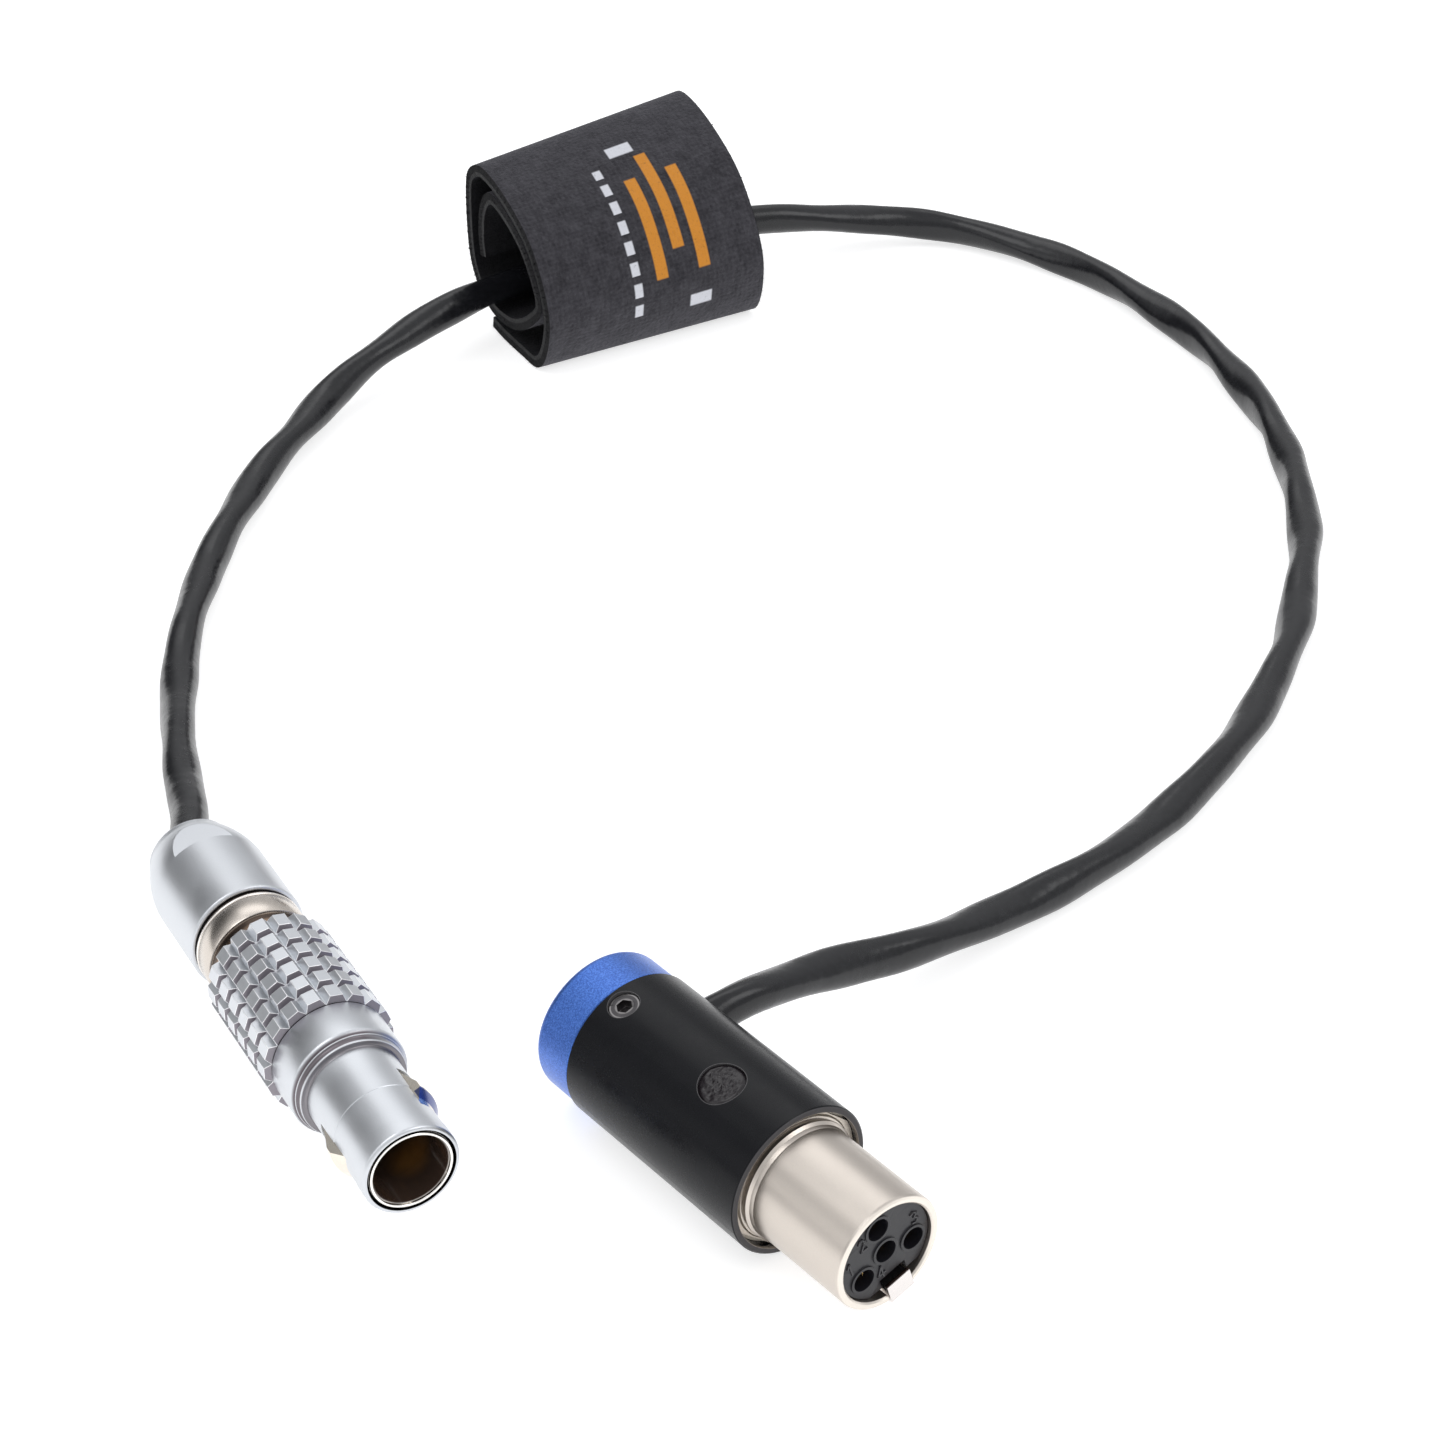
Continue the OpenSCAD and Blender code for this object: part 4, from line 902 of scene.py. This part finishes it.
def anodised():
    """The end cap's blue, finely grained."""
    m = Mat("blue_anodised", Metallic=0.85, Coat_Weight=0.5, Coat_Roughness=0.42)
    vec = m.coords("conn")
    fine = m.noise(vec, 9.0, 3.0, 0.65)
    blue = m.ramp(fine, [(0.34, (0.032, 0.105, 0.43)), (0.5, (0.058, 0.172, 0.61)),
                         (0.66, (0.110, 0.270, 0.78))])
    m.put("Base Color", cap_seam(m, vec, blue))
    m.put("Roughness", m.span(m.noise(vec, 0.4, 2.0, 0.5), 0.36, 0.46, 0.3, 0.7))
    m.put("Normal", m.bump(fine, 0.30, 0.03))
    return m.m


def rubber():
    """The cable's black jacket, with soft dents."""
    m = Mat("cable_rubber", Specular_IOR_Level=0.44)
    vec = m.coords()
    fine = m.noise(vec, 2.2, 4.0, 0.6)
    wide = m.noise(vec, 0.22, 3.0, 0.5)
    m.put("Base Color", m.ramp(fine, [(0.3, (0.0055, 0.0057, 0.0070)), (0.7, (0.0105, 0.0108, 0.0130))]))
    m.put("Roughness", m.span(m.shares((fine, 0.4), (wide, 0.6)), 0.17, 0.32, 0.3, 0.7))
    m.put("Normal", m.bump(fine, 0.12, 0.06, m.bump(wide, 0.5, 0.35)))
    return m.m


PIECE_LOOKS = (
    (shell, "satin_chrome", (satin_chrome, chrome_painted_highlight, chrome_painted_shade)),
    (neck, "nickel", (neck_nickel,)),
    (nut, "satin_chrome", (nut_chrome,)),
    (rim, "nickel", (rim_chrome,)),
    (lip, "nickel", (tab_nickel,)),
    (tip, "gold_plate", (gold,)),
    (fill, "screw_fill", (fill_paint,)),
    (digits, "grey_plastic", (number_plastic,)),
    (cable, "cable_rubber", (rubber(),)),
)
for piece, slot_name, materials in PIECE_LOOKS:
    for material in materials:
        piece.data.materials.append(material)

NODE_LOOKS = {
    "plug_outer_shell": satin_chrome, "plug_latch_right": latch_chrome_painted_reflection, "plug_latch_left": latch_chrome,
    "plug_guide_sleeve": guide_chrome, "plug_insulator": brown_insulator, "plug_contacts": gold,
    "plug_carrier_upper": brass, "plug_carrier_lower": brass, "plug_wires": wire, "plug_body": neck_nickel,
    "plug_collet": brass, "plug_collet_nut": nut_chrome, "conn_barrel": barrel_nickel,
    "conn_latch": tab_nickel, "conn_insert": insert_plastic, "conn_contacts": gold,
    "conn_front_ring": front_ring, "conn_housing": housing_paint, "conn_fixing_screw": fill_paint,
    "conn_retaining_ring": steel, "conn_wires": wire, "conn_crimp_ring": brass,
    "conn_grub_screw": dark_steel, "conn_end_cap": anodised(),
}
NODE_BEVELS = {"conn_latch": 0.04, "conn_insert": 0.03, "conn_grub_screw": 0.04}


def soften(ob, width):
    """Small bevels on a CAD node's sharp edges."""
    ob.modifiers.new("weld", "WELD").merge_threshold = 0.001 * MM
    b = ob.modifiers.new("bevel", "BEVEL")
    b.width = width * MM
    b.segments = 2
    b.limit_method = "ANGLE"
    b.angle_limit = math.radians(25.0)
    b.harden_normals = False
    ob.modifiers.new("normals", "WEIGHTED_NORMAL").keep_sharp = True


for name, material in NODE_LOOKS.items():
    nodes[name].data.materials.clear()
    nodes[name].data.materials.append(material)
for name, width in NODE_BEVELS.items():
    soften(nodes[name], width)


# ---- Strap: two laminated faces, rolled ----
def strap_curve(widen, lean, rise):
    """The roll's smooth section, widened, leant and raised by the given shares."""
    return catmull([(x * (1 + widen) + y * lean, y * (1 + rise), 0) for x, y in STRAP_LAY], 6)


def strap_mesh(name, inner, outer, across=24, hairs=0):
    """One face of the strap between two distances from the roll's section, and its unrolled length."""
    near = strap_curve(0, 0, 0)
    far = strap_curve(STRAP_WIDEN, STRAP_LEAN, STRAP_RISE)
    n = len(near)
    runs = [0.0]
    for a, b in zip(near, near[1:]):
        runs.append(runs[-1] + (b - a).length)

    def at(i, t, d):
        p, ahead, behind = [near[k].lerp(far[k], t) for k in (i, min(i + 1, n - 1), max(i - 1, 0))]
        tan = (ahead - behind).normalized()
        return strap_pt(p.x - tan.y * d, p.y + tan.x * d, STRAP_W * t), tan

    def vert(i, side, j):
        return (2 * i + side) * (across + 1) + j

    verts, uvs, faces = [], [], []
    for i in range(n):
        for d in (outer, inner):
            for j in range(across + 1):
                verts.append(at(i, j / across, d)[0])
                uvs.append((j / across * STRAP_W, runs[i]))
    for i in range(n - 1):
        for j in range(across):
            for side in (0, 1):
                a, b = vert(i, side, j), vert(i + 1, side, j)
                faces.append((a, a + 1, b + 1, b))
        for j in (0, across):
            faces.append((vert(i, 0, j), vert(i + 1, 0, j), vert(i + 1, 1, j), vert(i, 1, j)))
    for i in (0, n - 1):
        for j in range(across):
            faces.append((vert(i, 0, j), vert(i, 0, j + 1), vert(i, 1, j + 1), vert(i, 1, j)))

    rng = random.Random(11)
    across_axis = strap_pt(0, 0, 1) - strap_pt(0, 0, 0)
    for _ in range(hairs):
        i = rng.randrange(n)
        edge = rng.random() < 0.5
        t = rng.choice((0.0, 1.0)) if edge else rng.random()
        d = rng.uniform(inner, outer) if edge else outer
        p, tan = at(i, t, d)
        out = (at(i, t, d + 1)[0] - p).normalized()
        along = strap_pt(tan.x, tan.y, 0) - strap_pt(0, 0, 0)
        if edge:
            away = across_axis * (1 if t > 0.5 else -1)
            grow = away * rng.uniform(0.3, 1.0) + out * rng.uniform(-0.4, 0.6)
        else:
            grow = out * rng.uniform(0.3, 0.7)
        grow += along * rng.uniform(-0.9, 0.9)
        grow = grow.normalized() * rng.uniform(0.14, 0.42 if edge else 0.28)
        sunk, wide = p - grow * 0.3, along * 0.028
        faces.append((len(verts), len(verts) + 1, len(verts) + 2))
        verts += [sunk - wide, sunk + wide, p + grow]
        uvs += [(t * STRAP_W, runs[i])] * 3
    ob = link_mesh(name, verts, faces, sharp=55)
    layer = ob.data.uv_layers.new(name="UVMap")
    for loop in ob.data.loops:
        layer.data[loop.index].uv = uvs[loop.vertex_index]
    return ob, runs[-1]


strap_half = (STRAP_LOOP_T + STRAP_HOOK_T) / 2
loop_face, strap_len = strap_mesh("strap_loop_face", STRAP_HOOK_T - strap_half, strap_half, hairs=5200)
hook_face, _ = strap_mesh("strap_hook_face", -strap_half, STRAP_HOOK_T - strap_half)

# The generic print, as boxes across and along the strap: bars, dashes in one row, and two blocks
PRINT_ORANGE, PRINT_WHITE = (0.62, 0.245, 0.028), (0.66, 0.67, 0.72)
PRINT_BARS = ((12.2, 13.5, 16.2, 25.6), (14.6, 15.9, 18.4, 27.8), (17.0, 18.3, 16.2, 25.6))
PRINT_DASHES, DASH_PITCH = (9.6, 10.5, 13.1, 27.6), 1.9
PRINT_BLOCKS = ((12.2, 15.0, 28.4, 29.6), (15.9, 18.3, 12.8, 14.0))
RIB_PITCH, WEFT_PITCH = 0.42, 0.55


def printed(m, u, v, fuzz, colour):
    """The print over the cloth's colour, rubbed through where the fuzz is low."""
    def box(u0, u1, v0, v1):
        soft = 0.07
        return m.times(m.band(u, u0 - soft, u0 + soft, u1 - soft, u1 + soft),
                       m.band(v, v0 - soft, v0 + soft, v1 - soft, v1 + soft))

    wear_and_highlight = m.span(fuzz, 0.35, 1.0, 0.28, 0.42)
    dash = m.fall(m.math("FRACT", m.times(v, 1 / DASH_PITCH)), 0.60, 0.66)
    orange = m.most(*[box(*bar) for bar in PRINT_BARS])
    white = m.most(m.times(dash, box(*PRINT_DASHES)), *[box(*block) for block in PRINT_BLOCKS])
    colour = m.blend(m.times(orange, wear_and_highlight), colour, PRINT_ORANGE)
    return m.blend(m.times(white, wear_and_highlight), colour, PRINT_WHITE)


def fabric(name, dark, light, rough, sheen, paint=None):
    """Felted cloth over a fine weave, with dark cut edges."""
    m = Mat(name, Roughness=rough, Specular_IOR_Level=0.22, Sheen_Roughness=0.5,
            Sheen_Tint=(0.6, 0.6, 0.65, 1))
    vec = m.coords()
    u, v, _ = m.uv()
    fuzz = m.noise(vec, 3.2, 6.0, 0.75)
    cloud = m.noise(vec, 0.45, 3.0, 0.6)
    tuft = m.noise(vec, 1.1, 4.0, 0.65)
    rib = m.math("SINE", m.shares((v, 2 * math.pi / RIB_PITCH), (fuzz, 3.0)))
    weft = m.math("SINE", m.shares((u, 2 * math.pi / WEFT_PITCH), (cloud, 5.0)))
    weave = m.span(m.math("ADD", rib, weft), 0.0, 1.0, -2.0, 2.0)
    mix = m.shares((fuzz, 0.42), (cloud, 0.22), (tuft, 0.30), (weave, 0.06))
    colour = m.ramp(mix, [(0.40, dark), (0.60, light)])
    cut_edge = m.most(m.fall(u, 0.01, 0.06), m.rise(u, STRAP_W - 0.06, STRAP_W - 0.01))
    colour = m.blend(cut_edge, colour, (0.005, 0.005, 0.006))
    m.put("Sheen Weight", m.span(cut_edge, sheen, 0.0))
    m.put("Base Color", paint(m, u, v, fuzz, colour) if paint else colour)
    m.put("Normal", m.bump(weave, 0.12, 0.10, m.bump(fuzz, 0.6, 0.22, m.bump(tuft, 0.5, 0.35))))
    return m.m


loop_cloth = fabric("strap_loop_fabric", (0.015, 0.014, 0.018), (0.052, 0.050, 0.058), 0.85, 0.26, printed)
# The hook face is darker than the loop face, partly its own colour and partly painted shade for the inside of
# the roll
hook_cloth = fabric("strap_hook_fabric", (0.0035, 0.0035, 0.0045), (0.010, 0.010, 0.012), 0.6, 0.06)
for ob, node, slot_name, cloth in ((loop_face, "strap_loop_layer", "strap_loop", loop_cloth),
                                   (hook_face, "strap_hook_layer", "strap_hook", hook_cloth)):
    ob.data.materials.append(cloth)
    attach(ob, "strap")
    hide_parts(node)

# ---- Floor ----
FLOOR_X, FLOOR_FRONT, FLOOR_BACK = 1500, -900, 2200
floor = link_mesh("floor", [(-FLOOR_X, FLOOR_FRONT, 0), (FLOOR_X, FLOOR_FRONT, 0), (FLOOR_X, FLOOR_BACK, 0),
                            (-FLOOR_X, FLOOR_BACK, 0)], [(0, 1, 2, 3)], False)
white = Mat("floor_white", Roughness=0.7, Specular_IOR_Level=0.05, Emission_Color=(1, 1, 1, 1),
            Emission_Strength=0.68)
mottle = white.noise(white.coords(), 0.02, 2.0)
white.put("Base Color", white.ramp(mottle, [(0.3, (0.615, 0.615, 0.615)), (0.7, (0.625, 0.625, 0.625))]))
floor.data.materials.append(white.m)

# ---- Studio: a soft sky by height with one dim side, which the metal mirrors, and four soft boxes ----
SKY_BOTTOM, SKY_TOP = (0.80, 0.80, 0.81, 1), (0.80, 0.81, 0.83, 1)
SKY_GREYS = ((0.06, 0.60), (0.42, 0.58), (0.60, 0.88), (0.80, 0.92))
DIM_SIDE = Vector((-0.76, 0.58, 0.22)).normalized()
DIM_RANGE = (("From Min", 0.20), ("From Max", 0.80), ("To Min", 0.12), ("To Max", 1.0))


def studio_world():
    world = bpy.data.worlds.new("studio")
    world.use_nodes = True
    tree = world.node_tree
    background = tree.nodes["Background"]
    direction = tree.nodes.new("ShaderNodeTexCoord").outputs["Generated"]
    height = tree.nodes.new("ShaderNodeSeparateXYZ")
    tree.links.new(direction, height.inputs[0])
    sky = tree.nodes.new("ShaderNodeValToRGB")
    stops = sky.color_ramp.elements
    stops[0].position, stops[0].color = 0.0, SKY_BOTTOM
    stops[1].position, stops[1].color = 0.97, SKY_TOP
    for at, grey in SKY_GREYS:
        stops.new(at).color = (grey, grey * 1.01, grey * 1.03, 1)
    tree.links.new(height.outputs["Z"], sky.inputs["Fac"])
    tree.links.new(sky.outputs["Color"], background.inputs["Color"])
    away = tree.nodes.new("ShaderNodeVectorMath")
    away.operation = "DISTANCE"
    away.inputs[1].default_value = DIM_SIDE
    tree.links.new(direction, away.inputs[0])
    dim = tree.nodes.new("ShaderNodeMapRange")
    dim.interpolation_type = "SMOOTHSTEP"
    for k, v in DIM_RANGE:
        dim.inputs[k].default_value = v
    tree.links.new(away.outputs["Value"], dim.inputs["Value"])
    tree.links.new(dim.outputs["Result"], background.inputs["Strength"])
    return world


def softbox(name, at, width, height, radiance):
    """A rectangular soft light aimed at the middle; its place and size are in metres."""
    light = bpy.data.lights.new(name, "AREA")
    light.shape = "RECTANGLE"
    light.size = width
    light.size_y = height
    light.energy = radiance * math.pi * width * height
    ob = bpy.data.objects.new(name, light)
    ob.location = at
    ob.rotation_euler = (-Vector(at)).to_track_quat("-Z", "Y").to_euler()
    scene.collection.objects.link(ob)


scene.world = studio_world()
softbox("back_box", (-0.15, 0.62, 0.78), 0.70, 0.40, 0.80)
softbox("key_box", (0.62, -0.22, 0.66), 0.42, 0.42, 1.9)
softbox("top_box", (-0.38, -0.12, 0.86), 0.50, 0.50, 1.7)
softbox("left_box", (-0.80, -0.30, 0.36), 0.5, 0.35, 0.8)
scene.view_settings.view_transform = "Standard"
